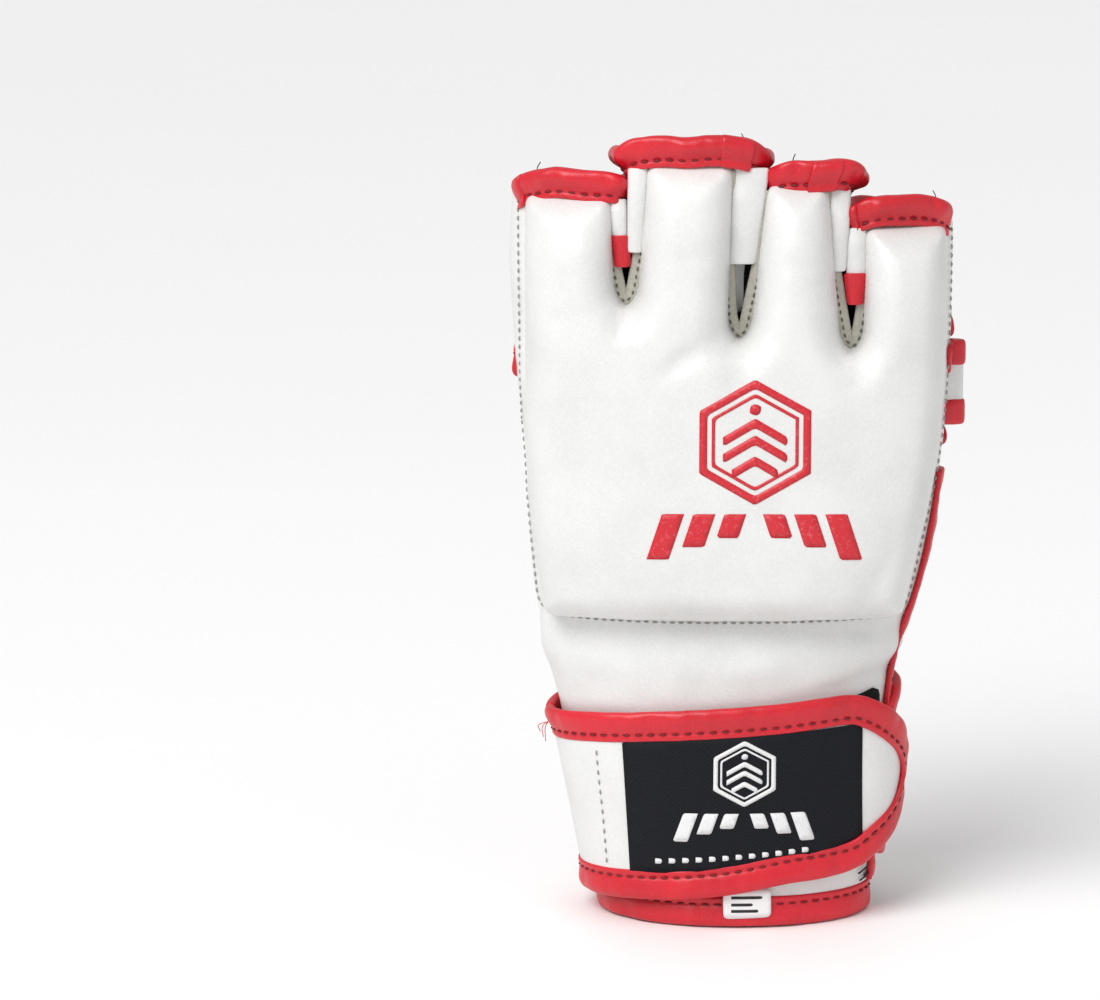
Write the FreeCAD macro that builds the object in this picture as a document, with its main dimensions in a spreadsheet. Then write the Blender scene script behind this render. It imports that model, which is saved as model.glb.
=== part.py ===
"""Open-palm martial arts glove for the right hand, standing on its cuff.

The glove is a flattened tube, wide at the knuckles and narrow at the cuff. Every
leather panel, binding and strap is a slice of that tube between two offsets, trimmed
to its outline. X points to the little finger, -Y to the back of the hand, Z to the
finger tips. The thumb side is -X. All sizes are in millimetres.
"""
import FreeCAD, Part
import os
import re

import Sketcher
from FreeCAD import Placement, Rotation, Vector

SIZES = [
    # the hand tube: level, centre, half width and half depth of each section
    ("cuff_level", 0, "bottom of the hem"),
    ("cuff_centre", 0, "centre of the cuff section, across the hand"),
    ("cuff_half_width", 36, "half width of the cuff"),
    ("cuff_half_depth", 23, "half depth of the cuff"),
    ("wrist_level", 75, "height of the wrist section"),
    ("wrist_centre", -4, "centre of the wrist section"),
    ("wrist_half_width", 47.5, "half width of the wrist"),
    ("wrist_half_depth", 23, "half depth of the wrist"),
    ("heel_level", 90, "height of the section through the thumb hole"),
    ("heel_centre", -3, "centre of the heel section"),
    ("heel_half_width", 51.5, "half width at the heel of the hand"),
    ("heel_half_depth", 22, "half depth at the heel of the hand"),
    ("palm_level", 130, "height of the palm section"),
    ("palm_centre", -1, "centre of the palm section"),
    ("palm_half_width", 56.5, "half width of the palm"),
    ("palm_half_depth", 21, "half depth of the palm"),
    ("knuckle_level", 175, "height of the knuckle section"),
    ("knuckle_centre", -2, "centre of the knuckle section"),
    ("knuckle_half_width", 59.5, "half width at the knuckles"),
    ("knuckle_half_depth", 20.5, "half depth at the knuckles"),
    ("finger_level", 222, "height of the last section, above the finger rims"),
    ("finger_centre", -1.5, "centre of the last section"),
    ("finger_half_width", 58, "half width of the last section"),
    ("finger_half_depth", 20, "half depth of the last section"),
    ("tube_axis_depth", 4.4, "where the side seams lie, front to back"),
    # layers
    ("skin_thickness", 1.2, "leather panel"),
    ("foam_thickness", 2.2, "foam sheet behind the back panels"),
    ("lining_thickness", 0.8, "knit lining"),
    ("binding_thickness", 1.0, "binding leather on each side of an edge"),
    ("binding_width", 7, "how far a binding covers the panel"),
    ("edge_lip", 1.2, "binding leather around the raw edge"),
    ("hem_height", 8, "height of the cuff hem binding"),
    # knuckle pad
    ("pad_thickness", 14.5, "knuckle pad over the base panel"),
    ("pad_bottom_level", 85.5, "lower seam of the knuckle pad"),
    ("pad_bottom_left", -52, "thumb side corner of the lower seam"),
    ("pad_bottom_right", 44.7, "little finger side corner of the lower seam"),
    ("pad_top_left", -57.7, "thumb side edge at the index finger"),
    ("pad_top_right", 56, "outer edge at the little finger"),
    # fingers: outer half width and half depth of each loop, and its top
    ("index_half_width", 13.5, "half width of the index loop"),
    ("index_half_depth", 10.8, "half depth of the index loop"),
    ("index_top_level", 208, "top of the index rim"),
    ("index_band_level", 168, "lower edge of the index loop"),
    ("middle_half_width", 16, "half width of the middle loop"),
    ("middle_half_depth", 17.4, "half depth of the middle loop"),
    ("middle_top_level", 217, "top of the middle rim"),
    ("middle_band_level", 166, "lower edge of the middle loop"),
    ("ring_half_width", 12.7, "half width of the ring loop"),
    ("ring_half_depth", 16.6, "half depth of the ring loop"),
    ("ring_top_level", 211, "top of the ring rim"),
    ("ring_band_level", 166, "lower edge of the ring loop"),
    ("little_half_width", 12.5, "half width of the little loop"),
    ("little_half_depth", 9.6, "half depth of the little loop"),
    ("little_top_level", 200.5, "top of the little rim"),
    ("little_band_level", 166, "lower edge of the little loop"),
    ("loop_gap", 1.6, "gap between neighbouring loops"),
    ("loop_margin", 3, "from the outside of the hand to the index loop"),
    ("loop_thickness", 1.4, "leather of a loop"),
    ("rim_height", 7.5, "height of a rim binding"),
    ("rim_thickness", 0.7, "rim binding outside a loop"),
    # slits between the fingers of the knuckle pad
    ("slit_top_width", 9.5, "slit width at the finger tops"),
    ("slit_bottom_width", 2.4, "slit width at its lower end"),
    ("slit_hem_width", 1.5, "turned hem around a slit"),
    ("slit_hem_depth", 7, "hem depth out of the base panel"),
    ("slit_index_level", 173, "lower end of the slit beside the index finger"),
    ("slit_middle_level", 164.5, "lower end of the slit beside the middle finger"),
    ("slit_ring_level", 161.5, "lower end of the slit beside the ring finger"),
    # palm
    ("palm_bar_level", 190, "top of the palm bar under the index and little rims"),
    ("cutout_left", -28, "thumb side edge of the finger cutout"),
    ("cutout_right", 29, "outer edge of the finger cutout"),
    ("cutout_level", 171, "lower edge of the finger cutout"),
    ("cutout_corner", 9, "corner of the finger cutout"),
    ("opening_left", -57, "thumb side corner of the palm opening"),
    ("opening_left_level", 150, "height of that corner"),
    ("opening_right", 55.5, "outer corner of the palm opening"),
    ("opening_right_level", 160, "height of that corner"),
    ("opening_rise", 1.5, "rise of the upper edge over its chord"),
    ("opening_drop", 21.5, "drop of the lower edge under its chord"),
    ("thumb_centre", -21, "centre of the thumb hole"),
    ("thumb_level", 90, "height of the thumb hole"),
    ("thumb_half_width", 16.5, "half width of the thumb hole"),
    ("thumb_half_height", 23.5, "half height of the thumb hole"),
    ("thumb_tilt", 18, "tilt of the thumb hole towards the thumb side, degrees"),
    ("entry_edge", 18, "palm side edge of the entry slit"),
    ("entry_edge_level", 100, "top of the straight edge of the entry slit"),
    ("entry_bend", 34, "end of the round corner of the entry slit"),
    ("entry_bend_level", 117, "height of that end"),
    ("entry_side_level", 130, "height of the entry slit at the side seam"),
    ("strap_seam_left", 1, "upper end of the seam of the side strap"),
    ("strap_seam_left_level", 134, "height of that end"),
    ("strap_seam_right", 18.5, "lower end of the seam of the side strap"),
    ("strap_seam_right_level", 103, "height of that end"),
    ("tab_reach", 61.8, "how far the folded side strap stands out"),
    ("tab_depth", 4, "depth of the folded side strap"),
    ("tab_bottom_level", 136, "lower edge of the folded side strap"),
    ("tab_top_level", 158, "upper edge of the folded side strap"),
    ("tab_binding_height", 5.5, "height of the bindings on the folded side strap"),
    # wrist strap
    ("strap_clearance", 0.4, "between the hem binding and the strap"),
    ("strap_binding_thickness", 0.8, "binding on each face of the strap"),
    ("strap_thickness", 2, "leather and foam of the strap"),
    ("strap_binding_width", 7.5, "height of the strap bindings"),
    ("strap_fold_gap", 0.2, "half of the gap at a fold of the strap"),
    ("wrap_top_thumb", 64, "upper edge on the palm, thumb side"),
    ("wrap_top_outer", 73, "upper edge on the palm, little finger side"),
    ("wrap_bottom_thumb", 6.5, "lower edge on the palm, thumb side"),
    ("wrap_bottom_outer", 13, "lower edge on the palm, little finger side"),
    ("flap_top_left", 60, "upper edge on the back, thumb side"),
    ("flap_top_right", 65, "upper edge on the back, near the tip"),
    ("flap_bottom_left", 8.5, "lower edge on the back, thumb side"),
    ("flap_bottom_right", 15, "lower edge on the back, near the tip"),
    ("flap_round_start", 27, "where the round tip starts"),
    ("flap_tip", 44.6, "end of the round tip"),
    ("flap_tip_level", 43, "height of the end of the tip"),
    ("label_left", -29, "thumb side edge of the woven label"),
    ("label_right", 31, "outer edge of the woven label"),
    ("label_thickness", 0.5, "woven label"),
    ("tape_thickness", 0.7, "hook tape and loop tape"),
    ("tape_left", -22, "thumb side end of the loop tape"),
    ("tape_right", 37, "outer end of the loop tape"),
    ("tape_bottom", 16, "lower edge of the loop tape"),
    ("tape_top", 64.5, "upper edge of the loop tape"),
    ("hook_left", 2, "thumb side end of the hook tape"),
    ("hook_right", 34, "outer end of the hook tape"),
    # trim
    ("print_thickness", 0.2, "printed emblem"),
    ("print_centre", 3.5, "centre of the printed emblem"),
    ("print_level", 133, "height of the emblem centre"),
    ("print_radius", 17, "half height of the emblem"),
    ("print_line", 2.2, "line width of the emblem"),
    ("print_bar_level", 111, "height of the bars under the emblem"),
    ("print_bar_length", 44, "length of the upper bar"),
    ("tag_left", -3.5, "thumb side edge of the size tag"),
    ("tag_right", 9, "outer edge of the size tag"),
    ("tag_bottom", 2.7, "lower edge of the size tag"),
    ("tag_top", 10.6, "upper edge of the size tag"),
    ("tag_thickness", 0.3, "size tag"),
    # trimming tools reach past the glove by this much
    ("tool_reach", 80, "half width and depth of the trimming prisms"),
]

LEVELS = ("cuff", "wrist", "heel", "palm", "knuckle", "finger")
FINGERS = ("index", "middle", "ring", "little")
OUTLINE_TURN = Rotation(Vector(1, 0, 0), 90)
DORSAL = Vector(0, -1, 0)
PALMAR = Vector(0, 1, 0)

doc = FreeCAD.newDocument("Glove")
sheet = doc.addObject("Spreadsheet::Sheet", "Sizes")
for row, (alias, value, meaning) in enumerate(SIZES, start=1):
    sheet.set(f"A{row}", alias)
    sheet.set(f"B{row}", str(value))
    sheet.set(f"C{row}", meaning)
    sheet.setAlias(f"B{row}", alias)
doc.recompute()

sub_parts = []


# ---------------------------------------------------------------- helpers

def linked(text):
    """The expression with each size name pointed at the spreadsheet."""
    return re.sub(r"\b([a-z]+(?:_[a-z]+)+)\b", r"Sizes.\1", text)


def value_of(text):
    """The present value of an expression in size names."""
    return float(sheet.evalExpression(linked(text)))


def bind(item, **expressions):
    """Tie properties of a document object to the spreadsheet."""
    for prop, text in expressions.items():
        item.setExpression(prop.replace("__", "."), linked(text))
    return item


def sub_part(node, item):
    """Register a finished solid under the node's name."""
    item.Label = node
    sub_parts.append(item)
    return item


def cut(base, *tools):
    """The base without the tools."""
    for tool in tools:
        result = doc.addObject("Part::Cut", "Cut")
        result.Base = base
        result.Tool = tool
        base = result
    return base


def common(*items):
    """What all items share."""
    result = doc.addObject("Part::MultiCommon", "Common")
    result.Shapes = list(items)
    return result


def fuse(*items):
    """The items as one solid or group."""
    result = doc.addObject("Part::MultiFuse", "Fuse")
    result.Shapes = list(items)
    return result


def ellipse(centre, depth, level, half_width, half_depth):
    """A horizontal ellipse, wider than it is deep, that starts at the thumb side."""
    curve = doc.addObject("Part::Ellipse", "Section")
    curve.Placement = Placement(Vector(0, 0, 0), Rotation(Vector(0, 0, 1), 180))
    bind(curve, MajorRadius=half_width, MinorRadius=half_depth,
         Placement__Base__x=centre, Placement__Base__y=depth,
         Placement__Base__z=level)
    return curve


tubes = {}


def tube(offset):
    """The hand tube, grown by an offset. Every layer is cut from these."""
    if offset not in tubes:
        sections = [ellipse(f"{level}_centre", "tube_axis_depth", f"{level}_level",
                            f"{level}_half_width + ({offset})",
                            f"{level}_half_depth + ({offset})")
                    for level in LEVELS]
        loft = doc.addObject("Part::Loft", "Tube")
        loft.Sections = sections
        loft.Solid = True
        loft.Ruled = True
        tubes[offset] = loft
    return tubes[offset]


walls = {}


def wall(inner, outer):
    """The layer of the tube between two offsets."""
    if (inner, outer) not in walls:
        walls[inner, outer] = cut(tube(outer), tube(inner))
    return walls[inner, outer]


def block(x_low, x_high, y_low, y_high, z_low, z_high):
    """A box between six coordinates."""
    box = doc.addObject("Part::Box", "Block")
    bind(box, Length=f"({x_high}) - ({x_low})", Width=f"({y_high}) - ({y_low})",
         Height=f"({z_high}) - ({z_low})", Placement__Base__x=x_low,
         Placement__Base__y=y_low, Placement__Base__z=z_low)
    return box


def outline(points):
    """A closed outline seen from the back of the hand.

    A point is (x, z) or (x, z, rise): with a rise, the way to the next point is an arc
    whose middle stands that far out of the chord, to the right of the way.
    """
    sketch = doc.addObject("Sketcher::SketchObject", "Outline")
    sketch.Placement = Placement(Vector(0, 0, 0), OUTLINE_TURN)
    bind(sketch, Placement__Base__y="tube_axis_depth")
    corners = [Vector(value_of(p[0]), value_of(p[1]), 0) for p in points]
    count = len(points)
    starts = []
    for i, point in enumerate(points):
        here, there = corners[i], corners[(i + 1) % count]
        if len(point) == 2:
            sketch.addGeometry(Part.LineSegment(here, there))
            starts.append(1)
            continue
        way = there - here
        right = Vector(way.y, -way.x, 0).normalize()
        middle = (here + there) * 0.5 + right * value_of(point[2])
        sketch.addGeometry(Part.Arc(here, middle, there))
        at_start = (sketch.Geometry[i].StartPoint - here).Length < 1e-6
        starts.append(1 if at_start else 2)
    constraints = []
    expressions = {}
    for i, point in enumerate(points):
        after = (i + 1) % count
        constraints.append(
            Sketcher.Constraint("Coincident", i, 3 - starts[i], after, starts[after]))
    for i, point in enumerate(points):
        for kind, text, place in (("DistanceX", point[0], corners[i].x),
                                  ("DistanceY", point[1], corners[i].y)):
            expressions[len(constraints)] = text
            constraints.append(Sketcher.Constraint(kind, -1, 1, i, starts[i], place))
        if len(point) == 3:
            x, z, rise = point
            next_x, next_z = points[(i + 1) % count][:2]
            chord_square = f"((({next_x}) - ({x}))^2 + (({next_z}) - ({z}))^2)"
            expressions[len(constraints)] = (
                f"{chord_square} / (8 * abs({rise})) + abs({rise}) / 2")
            radius = sketch.Geometry[i].Radius
            constraints.append(Sketcher.Constraint("Radius", i, radius))
    sketch.addConstraint(constraints)
    for index, text in expressions.items():
        sketch.setExpression(f"Constraints[{index}]", linked(text))
    return sketch


def tilted_ellipse(growth):
    """The thumb hole, grown, seen from the back of the hand."""
    curve = doc.addObject("Part::Ellipse", "Hole")
    curve.Placement = Placement(Vector(0, 0, 0), OUTLINE_TURN)
    bind(curve, MajorRadius=f"thumb_half_height + ({growth})",
         MinorRadius=f"thumb_half_width + ({growth})",
         Placement__Base__x="thumb_centre", Placement__Base__y="tube_axis_depth",
         Placement__Base__z="thumb_level")
    turn = OUTLINE_TURN.multiply(Rotation(Vector(0, 0, 1), 90 + value_of("thumb_tilt")))
    curve.Placement = Placement(curve.Placement.Base, turn)
    return curve


def grown(flat, growth):
    """An outline moved outwards all round."""
    result = doc.addObject("Part::Offset2D", "Grown")
    result.Source = flat
    result.Join = "Intersection"
    bind(result, Value=growth)
    return result


def prism(flat, direction):
    """An outline swept through the back half or the palm half of the glove."""
    result = doc.addObject("Part::Extrusion", "Prism")
    result.Base = flat
    result.DirMode = "Custom"
    result.Dir = direction
    result.Solid = True
    bind(result, LengthFwd="tool_reach")
    return result


def upright(flat, low, high):
    """A horizontal curve raised into a solid between two levels."""
    result = doc.addObject("Part::Extrusion", "Upright")
    result.Base = flat
    result.DirMode = "Custom"
    result.Dir = Vector(0, 0, 1)
    result.Solid = True
    bind(result, LengthFwd=f"({high}) - ({low})")
    return result


def half(direction, low, high):
    """Everything on one side of the side seams, between two levels."""
    if direction == DORSAL:
        return block("-tool_reach", "tool_reach", "tube_axis_depth - tool_reach",
                     "tube_axis_depth", low, high)
    return block("-tool_reach", "tool_reach", "tube_axis_depth",
                 "tube_axis_depth + tool_reach", low, high)


# ---------------------------------------------------------------- layers

SKIN_INNER = "-skin_thickness"
FOAM_INNER = "-skin_thickness - foam_thickness"
LINING_INNER = "-skin_thickness - foam_thickness - lining_thickness"
BINDING_INNER = "-skin_thickness - binding_thickness"
BINDING_OUTER = "binding_thickness"
STRAP_LOW = "binding_thickness + strap_clearance"
STRAP_INNER = f"{STRAP_LOW} + strap_binding_thickness"
STRAP_OUTER = f"{STRAP_INNER} + strap_thickness"
STRAP_HIGH = f"{STRAP_OUTER} + strap_binding_thickness"
LABEL_OUTER = f"{STRAP_OUTER} + label_thickness"

skin = wall(SKIN_INNER, "0")
binding_wall = wall(BINDING_INNER, BINDING_OUTER)


# ---------------------------------------------------------------- fingers

INDEX_LEFT = "knuckle_centre - knuckle_half_width + loop_margin"


def loop_left(finger):
    """The thumb side of a finger loop, counted across the hand."""
    text = INDEX_LEFT
    for before in FINGERS[:FINGERS.index(finger)]:
        text += f" + 2 * {before}_half_width + loop_gap"
    return text


def loop_centre(finger):
    """The middle of a finger loop."""
    return f"{loop_left(finger)} + {finger}_half_width"


def loop_solid(finger, growth, low, high):
    """A finger loop as a full upright ellipse, for both its faces."""
    widths = (f"{finger}_half_width + ({growth})", f"{finger}_half_depth + ({growth})")
    deeper = value_of(widths[1]) > value_of(widths[0])
    curve = doc.addObject("Part::Ellipse", "Loop")
    major, minor = (widths[1], widths[0]) if deeper else widths
    curve.Placement = Placement(Vector(0, 0, 0),
                                Rotation(Vector(0, 0, 1), 90 if deeper else 0))
    bind(curve, MajorRadius=major, MinorRadius=minor,
         Placement__Base__x=loop_centre(finger),
         Placement__Base__y="tube_axis_depth", Placement__Base__z=low)
    return upright(curve, low, high)


def make_finger(finger):
    """One finger loop and its rim binding."""
    low = f"{finger}_band_level"
    band_top = f"{finger}_top_level - edge_lip"
    rim_low = f"{finger}_top_level - rim_height"
    rim_top = f"{finger}_top_level"
    outer = loop_solid(finger, "0", low, band_top)
    inner = loop_solid(finger, "-loop_thickness", low, band_top)
    band = common(cut(outer, inner), tube(SKIN_INNER))
    sub_part(f"{finger}_finger_band", band)
    rim_outer = loop_solid(finger, "rim_thickness", rim_low, rim_top)
    rim_inner = loop_solid(finger, "-loop_thickness - rim_thickness", rim_low, rim_top)
    sub_part(f"{finger}_rim_binding", cut(rim_outer, rim_inner, band))


for finger in FINGERS:
    make_finger(finger)


# ---------------------------------------------------------------- back of the hand

def slit_outline(after, level):
    """The tapered slit before a finger of the knuckle pad."""
    centre = f"{loop_left(after)} - loop_gap / 2"
    top = "finger_level"
    return outline([
        (f"{centre} - slit_bottom_width / 2", level, "slit_bottom_width / 4"),
        (f"{centre} + slit_bottom_width / 2", level),
        (f"{centre} + slit_top_width / 2", top),
        (f"{centre} - slit_top_width / 2", top),
    ])


slits = [slit_outline(after, f"slit_{before}_level")
         for before, after in zip(FINGERS, FINGERS[1:])]
slit_holes = [prism(flat, DORSAL) for flat in slits]
slit_hem_holes = [prism(grown(flat, "slit_hem_width"), DORSAL) for flat in slits]


def finger_steps(left_end, right_end):
    """The stepped upper outline over the four fingers, from the thumb side."""
    points = []
    for number, finger in enumerate(FINGERS):
        left = left_end if number == 0 else f"{loop_left(finger)} - loop_gap / 2"
        right = right_end
        if number < len(FINGERS) - 1:
            right = f"{loop_left(FINGERS[number + 1])} - loop_gap / 2"
        top = f"{finger}_top_level - rim_height"
        points += [(left, top), (right, top)]
    return points


base_outline = outline([("tool_reach", "pad_bottom_level"),
                        ("-tool_reach", "pad_bottom_level")]
                       + finger_steps("-tool_reach", "tool_reach"))
base_panel = cut(common(skin, prism(base_outline, DORSAL)), *slit_hem_holes)
sub_part("dorsal_base_panel", base_panel)

wrist_panel = common(skin, half(DORSAL, "edge_lip", "pad_bottom_level"))
sub_part("wrist_back_panel", wrist_panel)

LINING_TOP = "index_band_level - edge_lip - binding_width"
dorsal_edge = block("entry_edge", "tool_reach", "tube_axis_depth - binding_width",
                    "tube_axis_depth + edge_lip", "hem_height",
                    "entry_bend_level - edge_lip")
sub_part("back_foam_sheet",
         cut(common(wall(FOAM_INNER, SKIN_INNER), half(DORSAL, "hem_height", LINING_TOP)),
             dorsal_edge))
sub_part("dorsal_lining",
         common(wall(LINING_INNER, FOAM_INNER), half(DORSAL, "hem_height", LINING_TOP)))


pad_flat = outline([("pad_bottom_right", "pad_bottom_level"),
                    ("pad_bottom_left", "pad_bottom_level")]
                   + finger_steps("pad_top_left", "pad_top_right"))
pad_block = cut(common(wall("0", "pad_thickness"), prism(pad_flat, DORSAL)),
                *slit_hem_holes)
foam_holes = [prism(grown(flat, "slit_hem_width + skin_thickness"), DORSAL)
              for flat in slits]
knuckle_foam = cut(common(wall("0", "pad_thickness - skin_thickness"),
                          prism(grown(pad_flat, "-skin_thickness"), DORSAL)),
                   *foam_holes)
sub_part("knuckle_foam", knuckle_foam)
sub_part("knuckle_pad_cover", cut(pad_block, knuckle_foam))

hem_layer = wall(SKIN_INNER, "slit_hem_depth")
for finger, hole, hem_hole in zip(FINGERS, slit_holes, slit_hem_holes):
    lower = half(DORSAL, f"slit_{finger}_level - slit_hem_width - slit_bottom_width",
                 "little_top_level - rim_height")
    sub_part(f"{finger}_slit_hem", cut(common(hem_layer, hem_hole, lower), hole))


# ---------------------------------------------------------------- palm

cutout = outline([
    ("cutout_left", "finger_level"),
    ("cutout_left", "cutout_level + cutout_corner", "0.29 * cutout_corner"),
    ("cutout_left + cutout_corner", "cutout_level"),
    ("cutout_right - cutout_corner", "cutout_level", "0.29 * cutout_corner"),
    ("cutout_right", "cutout_level + cutout_corner"),
    ("cutout_right", "finger_level"),
])
opening = outline([
    ("opening_left", "opening_left_level", "opening_drop"),
    ("opening_right", "opening_right_level", "opening_rise"),
])
entry = outline([
    ("entry_edge", "cuff_level - binding_width"),
    ("tool_reach", "cuff_level - binding_width"),
    ("tool_reach", "entry_side_level"),
    ("entry_bend", "entry_bend_level", "(entry_bend_level - entry_edge_level) / 4"),
    ("entry_edge", "entry_edge_level"),
])
split_line = [
    ("-tool_reach", "opening_left_level"), ("opening_left", "opening_left_level"),
    ("opening_right", "opening_right_level"), ("tool_reach", "opening_right_level"),
]
above_split = outline([
    ("-tool_reach", "opening_left_level + binding_width / 2"), *split_line[1:],
    ("tool_reach", "palm_bar_level"), ("-tool_reach", "palm_bar_level"),
])
below_split = outline(split_line[::-1] + [
    ("-tool_reach", "edge_lip"), ("tool_reach", "edge_lip"),
])
strap_side = outline([
    ("strap_seam_left", "strap_seam_left_level"),
    ("strap_seam_right", "strap_seam_right_level"),
    ("tool_reach", "strap_seam_right_level"), split_line[3], split_line[2],
    ("strap_seam_left", "opening_left_level"),
])


def palm_hole(flat, growth):
    """An opening of the palm, grown, as a trimming tool."""
    return prism(grown(flat, growth), PALMAR)


opening_edge = palm_hole(opening, "edge_lip")
opening_hole = prism(opening, PALMAR)
entry_edge_tool = palm_hole(entry, "edge_lip")
entry_hole = prism(entry, PALMAR)

bar_panel = cut(common(skin, prism(above_split, PALMAR)),
                palm_hole(cutout, "edge_lip"), opening_edge)
sub_part("palm_bar_panel", bar_panel)

thumb_edge = prism(tilted_ellipse("edge_lip"), PALMAR)
heel_panel = cut(common(skin, prism(below_split, PALMAR)), opening_edge,
                 entry_edge_tool, thumb_edge, prism(strap_side, PALMAR))
sub_part("palm_heel_panel", heel_panel)

side_strap = cut(common(skin, prism(strap_side, PALMAR)), opening_edge, entry_edge_tool)

# ---------------------------------------------------------------- palm bindings

palm_panels = (bar_panel, heel_panel, side_strap)
cutout_band = cut(palm_hole(cutout, "binding_width"), prism(cutout, PALMAR))
sub_part("finger_cutout_binding",
         cut(common(binding_wall, cutout_band,
                    half(PALMAR, "opening_right_level", "palm_bar_level")), bar_panel))

opening_band = cut(palm_hole(opening, "binding_width"), opening_hole)
top_band = common(binding_wall, opening_band, prism(above_split, PALMAR))
sub_part("palm_opening_top_binding",
         cut(top_band, bar_panel, palm_hole(cutout, "binding_width"),
             half(PALMAR, "little_band_level - edge_lip", "finger_level")))
bottom_band = common(binding_wall, opening_band, prism(below_split, PALMAR))
bottom_binding = cut(bottom_band, heel_panel, side_strap)
sub_part("palm_opening_bottom_binding", bottom_binding)

thumb_band = cut(prism(tilted_ellipse("binding_width - edge_lip"), PALMAR),
                 prism(tilted_ellipse("0"), PALMAR))
sub_part("thumb_hole_binding", cut(common(binding_wall, thumb_band), heel_panel))

entry_band = cut(palm_hole(entry, "binding_width"), entry_hole)
entry_binding = cut(common(binding_wall, entry_band,
                           half(PALMAR, "hem_height", "opening_right_level")),
                    heel_panel, side_strap, palm_hole(opening, "binding_width"))
sub_part("entry_slit_binding", entry_binding)

TAB_ROOT = "palm_centre + palm_half_width / 2"
tab_core = block(TAB_ROOT, "tab_reach - binding_thickness",
                 "tube_axis_depth - tab_depth / 2 + binding_thickness",
                 "tube_axis_depth + tab_depth / 2 - binding_thickness",
                 "tab_bottom_level + edge_lip", "tab_top_level - edge_lip")
sub_part("ulnar_side_strap", side_strap)
sub_part("ulnar_tab", cut(tab_core, tube(BINDING_OUTER)))


def tab_binding(low, high):
    """A binding folded over one edge of the side tab."""
    full = block(TAB_ROOT, "tab_reach", "tube_axis_depth - tab_depth / 2",
                 "tube_axis_depth + tab_depth / 2", low, high)
    return cut(full, tab_core, tube(BINDING_OUTER))


sub_part("ulnar_tab_bindings",
         fuse(tab_binding("tab_bottom_level", "tab_bottom_level + tab_binding_height"),
              tab_binding("tab_top_level - tab_binding_height", "tab_top_level")))

sub_part("dorsal_edge_binding",
         cut(common(binding_wall, dorsal_edge), base_panel, wrist_panel))

hem_zone = block("-tool_reach", "tool_reach", "tube_axis_depth - tool_reach",
                 "tube_axis_depth + tool_reach", "cuff_level", "hem_height")
sub_part("cuff_hem_binding",
         cut(common(binding_wall, hem_zone), wrist_panel, heel_panel, entry_hole))


# ---------------------------------------------------------------- wrist strap

strap_core = wall(STRAP_INNER, STRAP_OUTER)
strap_full = wall(STRAP_LOW, STRAP_HIGH)
FLAP_SIDE = block("-tool_reach", "tool_reach", "tube_axis_depth - tool_reach",
                  "tube_axis_depth - strap_fold_gap", "cuff_level", "heel_level")
WRAP_SIDE = block("-tool_reach", "tool_reach", "tube_axis_depth + strap_fold_gap",
                  "tube_axis_depth + tool_reach", "cuff_level", "heel_level")

wrap_flat = outline([
    ("-tool_reach", "wrap_bottom_thumb"), ("tool_reach", "wrap_bottom_outer"),
    ("tool_reach", "wrap_top_outer"), ("-tool_reach", "wrap_top_thumb"),
])
flap_flat = outline([
    ("-tool_reach", "flap_bottom_left"),
    ("flap_round_start", "flap_bottom_right", "(flap_tip - flap_round_start) / 3"),
    ("flap_tip", "flap_tip_level", "(flap_tip - flap_round_start) / 4"),
    ("flap_round_start", "flap_top_right"),
    ("-tool_reach", "flap_top_left"),
])


def make_strap(node, flat, direction, side):
    """A section of the strap: its panel and the binding along its edges."""
    panel = common(strap_core, prism(grown(flat, "-edge_lip"), direction), side)
    sub_part(f"{node}_panel", panel)
    edge = cut(prism(flat, direction), prism(grown(flat, "-strap_binding_width"), direction))
    sub_part(f"{node}_binding", cut(common(strap_full, edge, side), panel))
    return panel


make_strap("strap_wrap", wrap_flat, PALMAR, WRAP_SIDE)
make_strap("strap_flap", flap_flat, DORSAL, FLAP_SIDE)

label_flat = outline([
    ("label_left", "flap_bottom_left + strap_binding_width"),
    ("label_right", "flap_bottom_right + strap_binding_width"),
    ("label_right", "flap_top_right - strap_binding_width"),
    ("label_left", "flap_top_left - strap_binding_width"),
])
in_bindings = prism(grown(flap_flat, "-strap_binding_width"), DORSAL)
sub_part("strap_label",
         common(wall(STRAP_OUTER, LABEL_OUTER), prism(label_flat, DORSAL), in_bindings))

hook_flat = outline([
    ("hook_left", "tape_bottom"), ("hook_right", "tape_bottom"),
    ("hook_right", "tape_top"), ("hook_left", "tape_top"),
])
sub_part("strap_hook_tape",
         common(wall(f"{STRAP_INNER} - tape_thickness", STRAP_INNER),
                prism(hook_flat, DORSAL), in_bindings))

tape_flat = outline([
    ("tape_left", "tape_bottom"), ("tape_right", "tape_bottom"),
    ("tape_right", "tape_top"), ("tape_left", "tape_top"),
])
sub_part("cuff_loop_tape",
         cut(common(wall("0", "tape_thickness"), prism(tape_flat, DORSAL)), dorsal_edge))


# ---------------------------------------------------------------- trim

def hexagon(radius):
    """A regular hexagon with a corner on top, around the emblem centre."""
    side = f"({radius}) * 0.866"
    return outline([
        ("print_centre", f"print_level - ({radius})"),
        (f"print_centre + {side}", f"print_level - ({radius}) / 2"),
        (f"print_centre + {side}", f"print_level + ({radius}) / 2"),
        ("print_centre", f"print_level + ({radius})"),
        (f"print_centre - {side}", f"print_level + ({radius}) / 2"),
        (f"print_centre - {side}", f"print_level - ({radius}) / 2"),
    ])


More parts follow.
